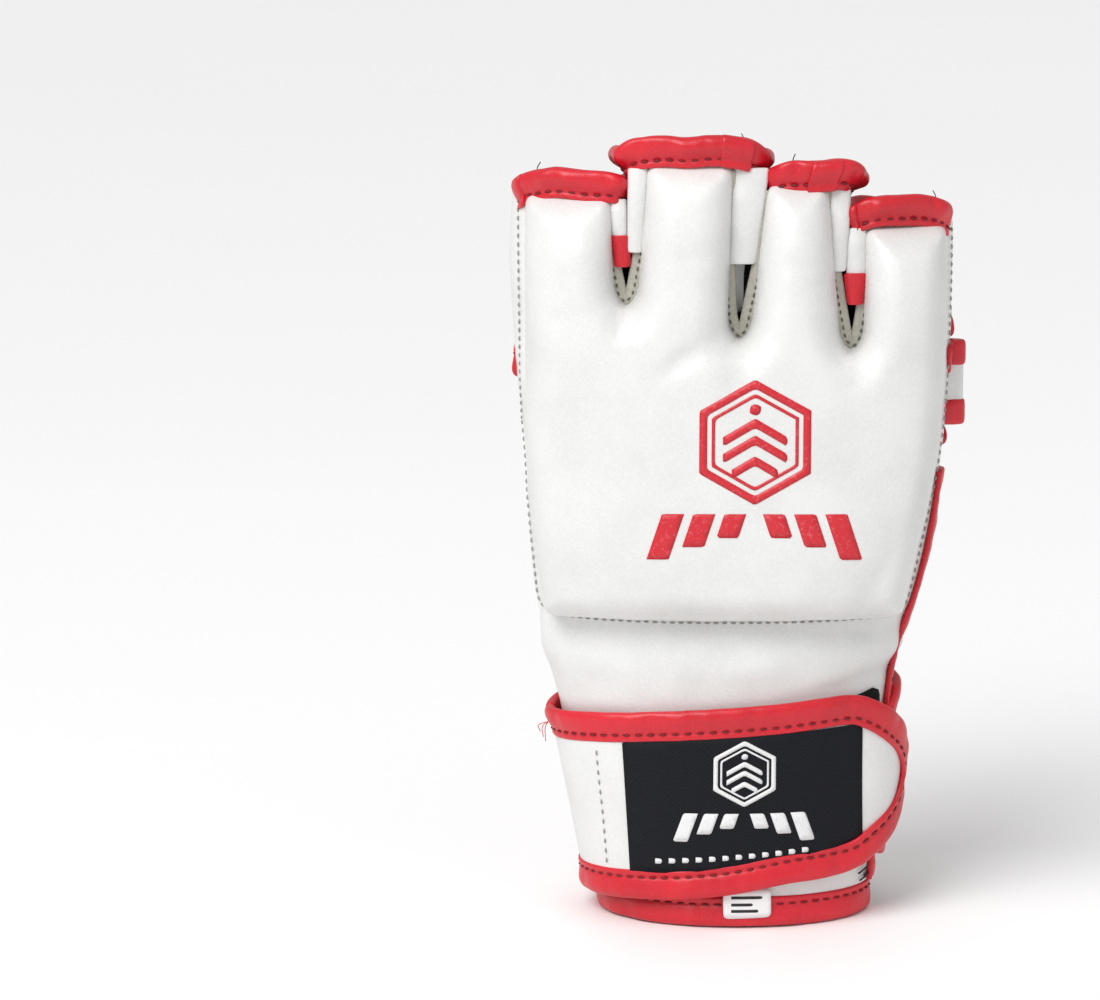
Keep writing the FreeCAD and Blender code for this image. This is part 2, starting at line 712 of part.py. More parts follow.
def chevron(rise):
    """A chevron inside the hexagon, its peak this far above the centre."""
    reach = "print_radius / 2"
    drop = "print_radius / 3"
    return outline([
        (f"print_centre - {reach}", f"print_level + ({rise}) - {drop}"),
        ("print_centre", f"print_level + ({rise})"),
        (f"print_centre + {reach}", f"print_level + ({rise}) - {drop}"),
        (f"print_centre + {reach}", f"print_level + ({rise}) - {drop} + print_line"),
        ("print_centre", f"print_level + ({rise}) + print_line"),
        (f"print_centre - {reach}", f"print_level + ({rise}) - {drop} + print_line"),
    ])


def bar(level, length):
    """A plain printed bar under the hexagon."""
    return outline([
        (f"print_centre - {length} / 2", f"{level} - print_line"),
        (f"print_centre + {length} / 2", f"{level} - print_line"),
        (f"print_centre + {length} / 2", level),
        (f"print_centre - {length} / 2", level),
    ])


print_layer = wall("pad_thickness", "pad_thickness + print_thickness")
ring_print = cut(prism(hexagon("print_radius"), DORSAL),
                 prism(hexagon("print_radius - print_line * 1.15"), DORSAL))
printed = [ring_print]
printed += [prism(chevron(f"print_radius * {share}"), DORSAL) for share in (0.35, 0, -0.35)]
printed += [prism(bar("print_bar_level", "print_bar_length"), DORSAL),
            prism(bar("print_bar_level - 2 * print_line", "print_bar_length * 0.7"), DORSAL)]
sub_part("printed_emblem",
         fuse(*[common(print_layer, shape) for shape in printed]))

tag_flat = outline([
    ("tag_left", "tag_bottom"), ("tag_right", "tag_bottom"),
    ("tag_right", "tag_top"), ("tag_left", "tag_top"),
])
sub_part("size_tag",
         common(wall(BINDING_OUTER, f"{BINDING_OUTER} + tag_thickness"),
                prism(tag_flat, DORSAL)))


# ---------------------------------------------------------------- check and write

doc.recompute()
faults = [f"{item.Label}: {item.State}" for item in doc.Objects
          if {"Invalid", "Error"} & set(item.State)]
faults += [f"{item.Label}: bad shape" for item in sub_parts
           if item.Shape.isNull() or not item.Shape.isValid() or not item.Shape.Solids]
if faults:
    raise RuntimeError("\n".join(faults))

os.makedirs("parts", exist_ok=True)
for item in sub_parts:
    item.Shape.exportStep(f"parts/{item.Label}.step")
    print(item.Label, len(item.Shape.Solids), round(item.Shape.Volume, 1))
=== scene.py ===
"""Looks of the open-palm glove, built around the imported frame.

Lengths inside this file are millimetres until mesh_object() turns them into metres. The
glove is a flattened tube. Its surface has two coordinates: w runs round the hand, from
-1 at the little finger side over the palm to 0 at the thumb side and over the back of
the hand to 1 at the little finger side again, and z is the height.
"""

import math

import bmesh
import bpy
import numpy as np
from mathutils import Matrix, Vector, noise
from mathutils.geometry import delaunay_2d_cdt


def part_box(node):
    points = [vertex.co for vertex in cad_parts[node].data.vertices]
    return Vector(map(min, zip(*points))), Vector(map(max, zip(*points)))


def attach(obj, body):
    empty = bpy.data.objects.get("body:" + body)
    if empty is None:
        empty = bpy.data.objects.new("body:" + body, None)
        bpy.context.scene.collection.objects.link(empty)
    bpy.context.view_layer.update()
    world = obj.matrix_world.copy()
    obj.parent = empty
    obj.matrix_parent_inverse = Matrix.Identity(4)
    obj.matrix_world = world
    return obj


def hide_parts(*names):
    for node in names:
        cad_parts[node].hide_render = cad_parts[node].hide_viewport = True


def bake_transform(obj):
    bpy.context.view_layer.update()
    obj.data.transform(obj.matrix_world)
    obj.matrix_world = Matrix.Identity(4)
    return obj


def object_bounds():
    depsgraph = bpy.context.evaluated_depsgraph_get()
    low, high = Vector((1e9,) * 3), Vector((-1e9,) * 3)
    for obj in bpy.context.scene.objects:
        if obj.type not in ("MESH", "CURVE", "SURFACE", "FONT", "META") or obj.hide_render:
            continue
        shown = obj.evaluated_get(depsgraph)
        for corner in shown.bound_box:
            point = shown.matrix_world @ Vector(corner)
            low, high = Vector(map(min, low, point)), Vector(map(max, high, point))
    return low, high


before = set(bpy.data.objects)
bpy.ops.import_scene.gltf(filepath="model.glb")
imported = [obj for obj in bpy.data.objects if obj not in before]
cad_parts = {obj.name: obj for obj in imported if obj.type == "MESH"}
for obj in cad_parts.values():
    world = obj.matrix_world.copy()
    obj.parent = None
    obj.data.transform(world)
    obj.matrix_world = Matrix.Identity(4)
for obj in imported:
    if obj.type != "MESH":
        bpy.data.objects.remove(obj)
cad_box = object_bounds()

MM = 0.001


def node_box(node):
    """The corners of a CAD node in millimetres."""
    low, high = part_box(node)
    return np.array(low) / MM, np.array(high) / MM


# ---------------------------------------------------------------- the hand tube

AXIS_Y = node_box("wrist_back_panel")[1][1]
TAB_HIGH = node_box("ulnar_tab_bindings")[1]

# level, centre, half width, half depth of the back, half depth of the palm, squareness
SECTIONS = np.array([
    (-6.0, 0.5, 35.0, 23.0, 23.0, 2.0),
    (0.0, 0.0, 36.0, 23.0, 23.0, 2.0),
    (38.0, -2.0, 41.8, 23.0, 23.0, 2.05),
    (75.0, -4.0, 47.5, 23.0, 22.5, 2.15),
    (90.0, -3.0, 51.5, 22.0, 21.5, 2.25),
    (130.0, -1.0, 56.3, 21.0, 20.5, 2.4),
    (160.0, -1.6, 58.6, 20.5, 19.5, 2.5),
    (178.0, -2.0, 59.4, 20.5, 17.0, 2.5),
    (198.0, -1.8, 58.9, 20.2, 12.0, 2.5),
    (222.0, -1.5, 58.2, 20.0, 9.5, 2.5),
])
AROUND = 720
LEVEL_STEP = 1.0
LEVEL_FIRST = -5.0
LEVEL_COUNT = 230
HALF_LOOP = 130.0


def hermite(table, x):
    """Rows of a table at x, by cubic pieces with chord slopes."""
    knots = table[:, 0]
    values = table[:, 1:]
    slopes = np.gradient(values, knots, axis=0)
    i = np.clip(np.searchsorted(knots, x) - 1, 0, len(knots) - 2)
    step = knots[i + 1] - knots[i]
    u = np.clip((x - knots[i]) / step, 0, 1)[..., None]
    step = step[..., None]
    return ((1 + 2 * u) * (1 - u) ** 2 * values[i] + u * (1 - u) ** 2 * step * slopes[i]
            + u ** 2 * (3 - 2 * u) * values[i + 1] + u ** 2 * (u - 1) * step * slopes[i + 1])


def build_tube():
    """Points of the tube on an even grid of w and z."""
    levels = LEVEL_FIRST + LEVEL_STEP * np.arange(LEVEL_COUNT)
    rows = hermite(SECTIONS, levels)
    grid = np.zeros((LEVEL_COUNT, AROUND + 1, 3))
    angle = np.linspace(0, math.pi, 1500)
    for k, (centre, width, back, palm, square) in enumerate(rows):
        for side, depth in ((-1, back), (1, palm)):
            power = 2 / square
            x = centre - width * np.sign(np.cos(angle)) * np.abs(np.cos(angle)) ** power
            y = AXIS_Y + side * depth * np.abs(np.sin(angle)) ** power
            run = np.concatenate([[0], np.cumsum(np.hypot(np.diff(x), np.diff(y)))])
            even = np.linspace(0, run[-1], AROUND // 2 + 1)
            half_x, half_y = np.interp(even, run, x), np.interp(even, run, y)
            if side < 0:
                grid[k, AROUND // 2:, 0], grid[k, AROUND // 2:, 1] = half_x, half_y
            else:
                grid[k, :AROUND // 2 + 1, 0] = half_x[::-1]
                grid[k, :AROUND // 2 + 1, 1] = half_y[::-1]
        grid[k, :, 2] = levels[k]
    return grid


TUBE = build_tube()


def tube_normals():
    """Outward unit normals on the same grid."""
    ahead = np.roll(TUBE[:, :-1], -2, axis=1)
    behind = np.roll(TUBE[:, :-1], 2, axis=1)
    along = np.concatenate([ahead - behind, (ahead - behind)[:, :1]], axis=1)
    up = np.gradient(TUBE, axis=0)
    normal = np.cross(along, up)
    return normal / np.linalg.norm(normal, axis=2, keepdims=True)


NORMALS = tube_normals()


def sample(grid, w, z):
    """Bilinear look-up of a grid at w and z."""
    w = (np.asarray(w, float) + 1) % 2
    a = w / 2 * AROUND
    k = np.clip((np.asarray(z, float) - LEVEL_FIRST) / LEVEL_STEP, 0, LEVEL_COUNT - 1.001)
    i, j = np.minimum(a.astype(int), AROUND - 1), k.astype(int)
    across, up = (a - i)[..., None], (k - j)[..., None]
    return ((grid[j, i] * (1 - across) + grid[j, i + 1] * across) * (1 - up)
            + (grid[j + 1, i] * (1 - across) + grid[j + 1, i + 1] * across) * up)


def normal_at(w, z):
    """Outward unit normal of the hand tube."""
    n = sample(NORMALS, w, z)
    return n / np.linalg.norm(n, axis=-1, keepdims=True)


def on_hand(w, z, offset=0.0, sideways=1.0):
    """Points of the hand tube, moved out by an offset. Below 1, sideways keeps the offset
    from spreading to the sides."""
    offset = np.asarray(offset, float)
    way = normal_at(w, z)
    if sideways != 1:
        way = way * np.array([sideways, 1, 1])
        way /= np.linalg.norm(way, axis=-1, keepdims=True)
    return sample(TUBE, w, z) + way * offset[..., None]


def back_w(x, z, offset=0.0):
    """w of a point of the back of the hand, from its x and z."""
    return find_w(x, z, True, offset)


def palm_w(x, z, offset=0.0):
    """w of a point of the palm, from its x and z."""
    return find_w(x, z, False, offset)


def find_w(x, z, back, offset):
    """w of points at an offset from the back or the palm, from x and z."""
    x, z = np.atleast_1d(np.asarray(x, float)), np.atleast_1d(np.asarray(z, float))
    x, z = np.broadcast_arrays(x, z)
    ws = np.linspace(0, 1, 241) if back else -np.linspace(0, 1, 241)
    found = np.empty(x.shape)
    for n, (px, pz) in enumerate(zip(x, z)):
        line = on_hand(ws, np.full(ws.shape, pz), np.full(ws.shape, offset))[:, 0]
        found[n] = np.interp(px, line, ws)
    return found


# ---------------------------------------------------------------- small geometry tools

def smooth_path(points, step, closed=False):
    """A Catmull-Rom curve through points of any dimension, evenly spaced."""
    p = np.array(points, float)
    if closed:
        p = np.vstack([p[-1], p, p[0], p[1]])
    else:
        p = np.vstack([2 * p[0] - p[1], p, 2 * p[-1] - p[-2]])
    fine = []
    for i in range(1, len(p) - 2):
        for u in np.linspace(0, 1, 24, endpoint=False):
            a, b, c, d = p[i - 1], p[i], p[i + 1], p[i + 2]
            fine.append(0.5 * (2 * b + (c - a) * u + (2 * a - 5 * b + 4 * c - d) * u ** 2
                               + (3 * b - a - 3 * c + d) * u ** 3))
    fine.append(p[-2])
    return even_path(np.array(fine), step, closed)


def even_path(points, step, closed=False):
    """The same polyline with evenly spaced points. A closed one doesn't repeat its first."""
    points = np.asarray(points, float)
    if closed and np.linalg.norm(points[0] - points[-1]) > 1e-6:
        points = np.vstack([points, points[0]])
    run = np.concatenate([[0], np.cumsum(np.linalg.norm(np.diff(points, axis=0), axis=1))])
    count = max(int(round(run[-1] / step)), 2)
    even = np.linspace(0, run[-1], count + 1)
    if closed:
        even = even[:-1]
    return np.stack([np.interp(even, run, points[:, k]) for k in range(points.shape[1])],
                    axis=1)


def inside(points, loop):
    """Which points are inside a closed loop."""
    x, y = points[:, 0:1], points[:, 1:2]
    x0, y0 = loop[:, 0], loop[:, 1]
    x1, y1 = np.roll(x0, -1), np.roll(y0, -1)
    crossing = (y0 > y) != (y1 > y)
    slope = (x1 - x0) / np.where(np.abs(y1 - y0) < 1e-9, 1e-9, y1 - y0)
    return (crossing & (x < x0 + (y - y0) * slope)).sum(axis=1) % 2 == 1


def distance_to(points, loops):
    """Distance of each point to the nearest stretch of any closed loop."""
    best = np.full(len(points), 1e9)
    for loop in loops:
        a = loop
        b = np.roll(loop, -1, axis=0)
        d = b - a
        size = np.maximum((d ** 2).sum(axis=1), 1e-9)
        for start in range(0, len(points), 1500):
            p = points[start:start + 1500, None, :]
            u = np.clip(((p - a) * d).sum(axis=2) / size, 0, 1)
            gap = np.linalg.norm(p - (a + u[..., None] * d), axis=2).min(axis=1)
            best[start:start + 1500] = np.minimum(best[start:start + 1500], gap)
    return best


def wobble(points, size, seed=0.0):
    """Smooth noise between about -1 and 1, with features of the given size in mm."""
    return np.array([noise.noise(Vector((p[0] / size + seed, p[1] / size, p[2] / size)))
                     for p in points]) * 1.6


def mesh_object(name, verts, faces, material, level=0):
    """A mesh object from millimetre points."""
    mesh = bpy.data.meshes.new(name)
    mesh.from_pydata((np.asarray(verts) * MM).tolist(), [], [list(map(int, f)) for f in faces])
    mesh.validate()
    mesh.update()
    made = bpy.data.objects.new(name, mesh)
    bpy.context.scene.collection.objects.link(made)
    mesh.materials.append(material)
    mesh.polygons.foreach_set("use_smooth", [True] * len(mesh.polygons))
    if level:
        subdivision = made.modifiers.new("Subdivision", "SUBSURF")
        subdivision.levels = level
        subdivision.render_levels = level
    return made


def ring_faces(rows, count):
    """Faces of a closed tube made of rows of count points, with both ends capped."""
    faces = [(r * count + a, r * count + (a + 1) % count, (r + 1) * count + (a + 1) % count,
              (r + 1) * count + a) for r in range(rows - 1) for a in range(count)]
    faces.append(tuple(range(count))[::-1])
    faces.append(tuple(range((rows - 1) * count, rows * count)))
    return faces


# ---------------------------------------------------------------- sheets

class Patch:
    """A trimmed piece of the hand surface, meshed in (w * HALF_LOOP, z)."""

    def __init__(self, outer, holes=(), grid=2.2, rings=()):
        self.loops = [outer] + list(holes)
        low, high = outer.min(axis=0), outer.max(axis=0)
        free = []
        row = 0
        z = low[1] + grid / 2
        while z < high[1]:
            start = low[0] + (grid / 2 if row % 2 else grid)
            xs = np.arange(start, high[0], grid)
            free.append(np.stack([xs, np.full(xs.shape, z)], axis=1))
            z += grid * 0.87
            row += 1
        free = np.vstack(free)
        free = free[self.keeps(free)]
        gap = distance_to(free, self.loops)
        deepest = max(rings) if rings else 0
        free = free[gap > max(deepest + grid * 0.45, grid * 0.5)]
        for depth in rings:
            free = np.vstack([free, self.inset(depth, grid)])
        points = np.vstack(self.loops + [free])
        edges = []
        start = 0
        for loop in self.loops:
            count = len(loop)
            edges += [(start + k, start + (k + 1) % count) for k in range(count)]
            start += count
        made = delaunay_2d_cdt([Vector(p) for p in points], edges, [], 0, 1e-4)
        self.points = np.array([tuple(p) for p in made[0]])
        faces = np.array(made[2])
        middle = self.points[faces].mean(axis=1)
        faces = faces[self.keeps(middle)]
        used = np.unique(faces)
        renumber = np.full(len(self.points), -1)
        renumber[used] = np.arange(len(used))
        self.points = self.points[used]
        self.faces = renumber[faces]
        a, b, c = (self.points[self.faces[:, k]] for k in range(3))
        turn = (b[:, 0] - a[:, 0]) * (c[:, 1] - a[:, 1]) - (b[:, 1] - a[:, 1]) * (c[:, 0] - a[:, 0])
        self.faces[turn < 0] = self.faces[turn < 0][:, ::-1]
        self.edge_gap = distance_to(self.points, self.loops)

    def keeps(self, points):
        """Which points are in the outline and in no hole."""
        kept = inside(points, self.loops[0])
        for hole in self.loops[1:]:
            kept &= ~inside(points, hole)
        return kept

    def inset(self, depth, grid):
        """A ring of points at this depth inside the edges."""
        found = []
        for loop in self.loops:
            spaced = even_path(loop, max(grid * 0.7, 0.9), closed=True)
            ahead = np.roll(spaced, -1, axis=0) - np.roll(spaced, 1, axis=0)
            side = np.stack([-ahead[:, 1], ahead[:, 0]], axis=1)
            side /= np.maximum(np.linalg.norm(side, axis=1, keepdims=True), 1e-9)
            for sign in (1, -1):
                found.append(spaced + side * depth * sign)
        found = np.vstack(found)
        found = found[self.keeps(found)]
        gap = distance_to(found, self.loops)
        return found[np.abs(gap - depth) < 0.08]

    def w(self):
        return self.points[:, 0] / HALF_LOOP

    def z(self):
        return self.points[:, 1]

    def rim_edges(self):
        """The directed edges that only one triangle has."""
        seen = {}
        for a, b, c in self.faces.tolist():
            for edge in ((a, b), (b, c), (c, a)):
                seen[edge] = True
        return [edge for edge in seen if (edge[1], edge[0]) not in seen]

    def solid(self, name, material, top, bottom, level=0, sideways=1.0):
        """A closed sheet between two offsets, each a number or one value per point."""
        w, z = self.w(), self.z()
        count = len(self.points)
        upper = on_hand(w, z, np.broadcast_to(top, (count,)), sideways)
        lower = on_hand(w, z, np.broadcast_to(bottom, (count,)), sideways)
        faces = self.faces.tolist()
        back = (self.faces[:, ::-1] + count).tolist()
        sides = [(b, a, a + count, b + count) for a, b in self.rim_edges()]
        return mesh_object(name, np.vstack([upper, lower]), faces + back + sides,
                           material, level)


def domain(points, to_w):
    """x, z points turned into patch coordinates."""
    p = np.array(points, float)
    return np.stack([to_w(p[:, 0], p[:, 1]) * HALF_LOOP, p[:, 1]], axis=1)


def loop_of(points, to_w, step=1.6):
    """A closed outline of x, z points as an even loop in patch coordinates."""
    p = even_path(np.array(points, float), step, closed=True)
    return even_path(domain(p, to_w), step, closed=True)


def edge_round(gap, width):
    """0 at an edge to 1 at a width inside it, as a quarter circle."""
    return np.sqrt(np.clip(1 - (1 - np.clip(gap / width, 0, 1)) ** 2, 0, 1))


# ---------------------------------------------------------------- bindings

def fold_profile(width, fat):
    """The section of a folded binding: across from the fold, and height over the panel."""
    return np.array([
        (-1.0, 0.0), (-0.9, 0.8 * fat), (-0.45, 1.4 * fat), (0.4, 1.75 * fat),
        (1.4, 1.85 * fat), (2.4, 1.72 * fat), (3.3, 1.46 * fat), (width - 2.9, 1.12),
        (width - 2.4, 0.70), (width - 2.0, 0.55), (width - 1.6, 0.74), (width - 1.0, 1.0),
        (width - 0.3, 0.9), (width, 0.5), (width, 0.0),
        (width - 0.3, -0.6), (width - 2.2, -0.75), (3.2, -1.0), (1.3, -1.3 * fat),
        (0.1, -1.25 * fat), (-0.7, -0.75 * fat),
    ])


STITCH_ACROSS = 2.1  # from a binding's inner edge to its stitches
STITCH_SINK = 0.1
PITCH = 3.4


def sweep_fold(name, places, normals, across, material, width=7.0, fat=1.0, closed=False,
               rumple=0.28, seed=0.0):
    """A folded binding along a path: normals point out of the panel, across points from
    the fold into the panel."""
    profile = fold_profile(width, fat)
    count, ring = len(places), len(profile)
    run = np.arange(count) * np.linalg.norm(places[1] - places[0])
    verts = np.zeros((count, ring, 3))
    pucker = 0.5 - 0.5 * np.cos(2 * math.pi * run / PITCH)
    waves = wobble(places, 9.0, seed) * 0.9 + wobble(places, 3.6, seed + 31) * 0.55
    creases = np.maximum(wobble(places, 4.2, seed + 77), 0) ** 2
    drift = wobble(places, 14.0, seed + 11) * 0.35
    for k, (q, r) in enumerate(profile):
        outer = r > 0.3
        near_stitch = math.exp(-((q - (width - STITCH_ACROSS)) / 0.9) ** 2)
        near_fold = math.exp(-((q - 1.2) / 2.2) ** 2)
        lift = np.full(count, r)
        if outer:
            lift = lift + rumple * near_fold * (waves - creases * 1.5)
            lift = lift + 0.22 * near_stitch * pucker
            lift = lift + rumple * 0.35 * waves
        shift = q + rumple * 0.7 * near_fold * waves + drift * (1 - near_stitch) * 0.5
        verts[:, k] = places + across * shift[:, None] + normals * lift[:, None]
    verts = verts.reshape(-1, 3)
    faces = []
    stations = count if closed else count - 1
    for i in range(stations):
        a, b = i * ring, ((i + 1) % count) * ring
        for k in range(ring):
            m = (k + 1) % ring
            faces.append((a + k, b + k, b + m, a + m))
    if not closed:
        faces.append(tuple(range(ring)))
        faces.append(tuple(range((count - 1) * ring, count * ring))[::-1])
    made = mesh_object(name, verts, faces, material, level=1)
    make_normals_outward(made)
    return made


def make_normals_outward(made):
    """Consistent outward faces."""
    work = bmesh.new()
    work.from_mesh(made.data)
    bmesh.ops.recalc_face_normals(work, faces=work.faces)
    work.to_mesh(made.data)
    work.free()
    made.data.polygons.foreach_set("use_smooth", [True] * len(made.data.polygons))


def stitches(name, line, normals, material, pitch=PITCH, length=2.3, radius=0.3):
    """Thread stitches along a line that lies on a surface."""
    run = np.concatenate([[0], np.cumsum(np.linalg.norm(np.diff(line, axis=0), axis=1))])
    count = max(int(run[-1] / pitch), 1)
    middles = (np.arange(count) + 0.5) * run[-1] / count
    shape = ((-1.0, 0.0), (-0.82, 0.62), (-0.35, 1.0), (0.35, 1.0), (0.82, 0.62), (1.0, 0.0))
    verts, faces = [], []
    for mid in middles:
        here = np.array([np.interp(mid, run, line[:, k]) for k in range(3)])
        ahead = np.array([np.interp(min(mid + 0.8, run[-1]), run, line[:, k])
                          for k in range(3)])
        behind = np.array([np.interp(max(mid - 0.8, 0), run, line[:, k]) for k in range(3)])
        up = np.array([np.interp(mid, run, normals[:, k]) for k in range(3)])
        way = ahead - behind
        way /= max(np.linalg.norm(way), 1e-9)
        up = up - way * up.dot(way)
        up /= max(np.linalg.norm(up), 1e-9)
        side = np.cross(way, up)
        base = len(verts)
        for u, size in shape:
            rise = radius * (0.75 - 0.9 * u * u) - STITCH_SINK
            centre = here + way * u * length / 2 + up * rise
            if size == 0:
                verts.append(centre)
                continue
            for a in range(6):
                turn = a * math.pi / 3
                verts.append(centre + (side * math.cos(turn) + up * math.sin(turn))
                             * radius * size)
        rings = [base + 1 + 6 * r for r in range(4)]
        last = base + 25
        for a in range(6):
            b = (a + 1) % 6
            faces.append((base, rings[0] + b, rings[0] + a))
            for r in range(3):
                faces.append((rings[r] + a, rings[r] + b, rings[r + 1] + b, rings[r + 1] + a))
            faces.append((rings[3] + a, rings[3] + b, last))
    return mesh_object(name, np.array(verts), faces, material)


def path_frames(places, closed):
    """Unit tangents of a path."""
    if closed:
        way = np.roll(places, -1, axis=0) - np.roll(places, 1, axis=0)
    else:
        way = np.gradient(places, axis=0)
    return way / np.linalg.norm(way, axis=1, keepdims=True)


def binding_on_hand(name, path, panel_on_left, material, thread, body, nodes=(), width=7.0,
                    offset=0.0, closed=False, fat=1.0, seed=0.0, rumple=0.28,
                    thread_pitch=PITCH, bend=None):
    """A binding along a path of patch coordinates, with its stitches."""
    path = even_path(path, 1.25, closed)
    w, z = path[:, 0] / HALF_LOOP, path[:, 1]
    places = on_hand(w, z, offset(w) if callable(offset) else np.full(len(path), offset))
    normals = normal_at(w, z)
    way = path_frames(places, closed)
    across = np.cross(normals, way)
    if not panel_on_left:
        across = -across
    made = sweep_fold(name, places, normals, across, material, width, fat, closed,
                      rumple, seed)
    line = places + across * (width - STITCH_ACROSS) + normals * 0.82
    if closed:
        line = np.vstack([line, line[:1]])
        normals = np.vstack([normals, normals[:1]])
    sewn = stitches(name + "_stitches", line, normals, thread, pitch=thread_pitch)
    finish_piece(made, body, nodes, bend)
    finish_piece(sewn, body, (), bend)
    return made, sewn


def finish_piece(made, body, nodes=(), bend=None):
    """Tie a piece to its body and hide the CAD nodes it stands for; with a bend, only bake its
    transform (the bend is not applied).
    """
    if bend:
        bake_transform(made)
    else:
        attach(made, body)
    if nodes:
        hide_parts(*nodes)
    return made


# ---------------------------------------------------------------- materials

def node_material(name):
    """A material with its Principled shader and an Object coordinate in millimetres."""
    made = bpy.data.materials.new(name)
    made.use_nodes = True
    tree = made.node_tree
    shader = tree.nodes["Principled BSDF"]
    coordinate = tree.nodes.new("ShaderNodeTexCoord")
    scale = tree.nodes.new("ShaderNodeVectorMath")
    scale.operation = "SCALE"
    scale.inputs["Scale"].default_value = 1 / MM
    tree.links.new(coordinate.outputs["Object"], scale.inputs[0])
    return made, tree, shader, scale.outputs[0]


def noise_node(tree, place, size, detail=2.0, rough=0.5):
    """Noise with features of a size in millimetres."""
    node = tree.nodes.new("ShaderNodeTexNoise")
    node.inputs["Scale"].default_value = 1 / size
    node.inputs["Detail"].default_value = detail
    node.inputs["Roughness"].default_value = rough
    tree.links.new(place, node.inputs["Vector"])
    return node.outputs["Fac"]


def ramp(tree, value, stops):
    """A colour ramp through (position, colour) stops."""
    node = tree.nodes.new("ShaderNodeValToRGB")
    while len(node.color_ramp.elements) < len(stops):
        node.color_ramp.elements.new(0.5)
    for element, (position, colour) in zip(node.color_ramp.elements, stops):
        element.position = position
        element.color = (*colour, 1)
    tree.links.new(value, node.inputs["Fac"])
    return node.outputs["Color"]


def grey(level):
    return (level, level, level)


def math_node(tree, operation, a, b):
    """A Math node of two values or sockets."""
    node = tree.nodes.new("ShaderNodeMath")
    node.operation = operation
    for k, item in enumerate((a, b)):
        if isinstance(item, (int, float)):
            node.inputs[k].default_value = item
        else:
            tree.links.new(item, node.inputs[k])
    return node.outputs[0]


def bump(tree, shader, layers):
    """Stacked bumps: (height socket, strength, distance in millimetres)."""
    last = None
    for height, strength, distance in layers:
        node = tree.nodes.new("ShaderNodeBump")
        node.inputs["Strength"].default_value = strength
        node.inputs["Distance"].default_value = distance * MM
        tree.links.new(height, node.inputs["Height"])
        if last is not None:
            tree.links.new(last, node.inputs["Normal"])
        last = node.outputs["Normal"]
    tree.links.new(last, shader.inputs["Normal"])


def leather(name, dark, light, rough, grain=0.75, grain_strength=0.35, coat=0.12):
    """Coated leather: pebbled grain, faint creases and slight soiling."""
    made, tree, shader, place = node_material(name)
    cells = tree.nodes.new("ShaderNodeTexVoronoi")
    cells.feature = "SMOOTH_F1"
    cells.inputs["Scale"].default_value = 1 / grain
    cells.inputs["Smoothness"].default_value = 0.6
    tree.links.new(place, cells.inputs["Vector"])
    fine = noise_node(tree, place, 0.35, 3.0, 0.6)
    soft = noise_node(tree, place, 22.0, 3.0)
    crease = noise_node(tree, place, 3.2, 4.0, 0.62)
    tone = math_node(tree, "ADD", math_node(tree, "MULTIPLY", soft, 0.75),
                     math_node(tree, "MULTIPLY", cells.outputs["Distance"], 0.25))
    tree.links.new(ramp(tree, tone, [(0.3, dark), (0.62, light)]),
                   shader.inputs["Base Color"])
    gloss = math_node(tree, "ADD", math_node(tree, "MULTIPLY", crease, 0.16), rough - 0.08)
    tree.links.new(gloss, shader.inputs["Roughness"])
    shader.inputs["Coat Weight"].default_value = coat
    shader.inputs["Coat Roughness"].default_value = 0.32
    bump(tree, shader, [(crease, 0.25, 0.35), (cells.outputs["Distance"], grain_strength, 0.10),
                        (fine, 0.2, 0.05)])
    return made


def knit(name, dark, light, size=0.9):
    """Knit cloth: rows of small loops."""
    made, tree, shader, place = node_material(name)
    heights = []
    for axis, scale in (("X", size), ("Z", size * 1.25)):
        wave = tree.nodes.new("ShaderNodeTexWave")
        wave.bands_direction = axis
        wave.inputs["Scale"].default_value = 1 / scale / 6.28 * 2
        wave.inputs["Distortion"].default_value = 1.6
        wave.inputs["Detail"].default_value = 1.0
        wave.inputs["Detail Scale"].default_value = 2.0
        tree.links.new(place, wave.inputs["Vector"])
        heights.append(wave.outputs["Fac"])
    woven = math_node(tree, "MULTIPLY", heights[0], heights[1])
    fuzz = noise_node(tree, place, 0.5, 4.0, 0.7)
    tone = math_node(tree, "ADD", math_node(tree, "MULTIPLY", woven, 0.6),
                     math_node(tree, "MULTIPLY", fuzz, 0.4))
    tree.links.new(ramp(tree, tone, [(0.15, dark), (0.85, light)]),
                   shader.inputs["Base Color"])
    shader.inputs["Roughness"].default_value = 0.92
    shader.inputs["Specular IOR Level"].default_value = 0.15
    shader.inputs["Sheen Weight"].default_value = 0.04
    shader.inputs["Sheen Roughness"].default_value = 0.5
    bump(tree, shader, [(woven, 0.6, 0.25), (fuzz, 0.3, 0.1)])
    return made


def satin_label(name):
    """A woven satin label: fine slanted threads on black."""
    made, tree, shader, place = node_material(name)
    turned = tree.nodes.new("ShaderNodeVectorRotate")
    turned.rotation_type = "Y_AXIS"
    turned.inputs["Angle"].default_value = math.radians(35)
    tree.links.new(place, turned.inputs["Vector"])
    wave = tree.nodes.new("ShaderNodeTexWave")
    wave.bands_direction = "X"
    wave.inputs["Scale"].default_value = 0.45
    wave.inputs["Distortion"].default_value = 0.5
    tree.links.new(turned.outputs["Vector"], wave.inputs["Vector"])
    fine = noise_node(tree, place, 0.3, 3.0, 0.7)
    tone = math_node(tree, "ADD", math_node(tree, "MULTIPLY", wave.outputs["Fac"], 0.7),
                     math_node(tree, "MULTIPLY", fine, 0.3))
    tree.links.new(ramp(tree, tone, [(0.2, (0.0035, 0.004, 0.006)),
                                     (0.8, (0.013, 0.014, 0.018))]),
                   shader.inputs["Base Color"])
    shader.inputs["Roughness"].default_value = 0.62
    shader.inputs["Specular IOR Level"].default_value = 0.14
    bump(tree, shader, [(wave.outputs["Fac"], 0.5, 0.14), (fine, 0.25, 0.06)])
    return made


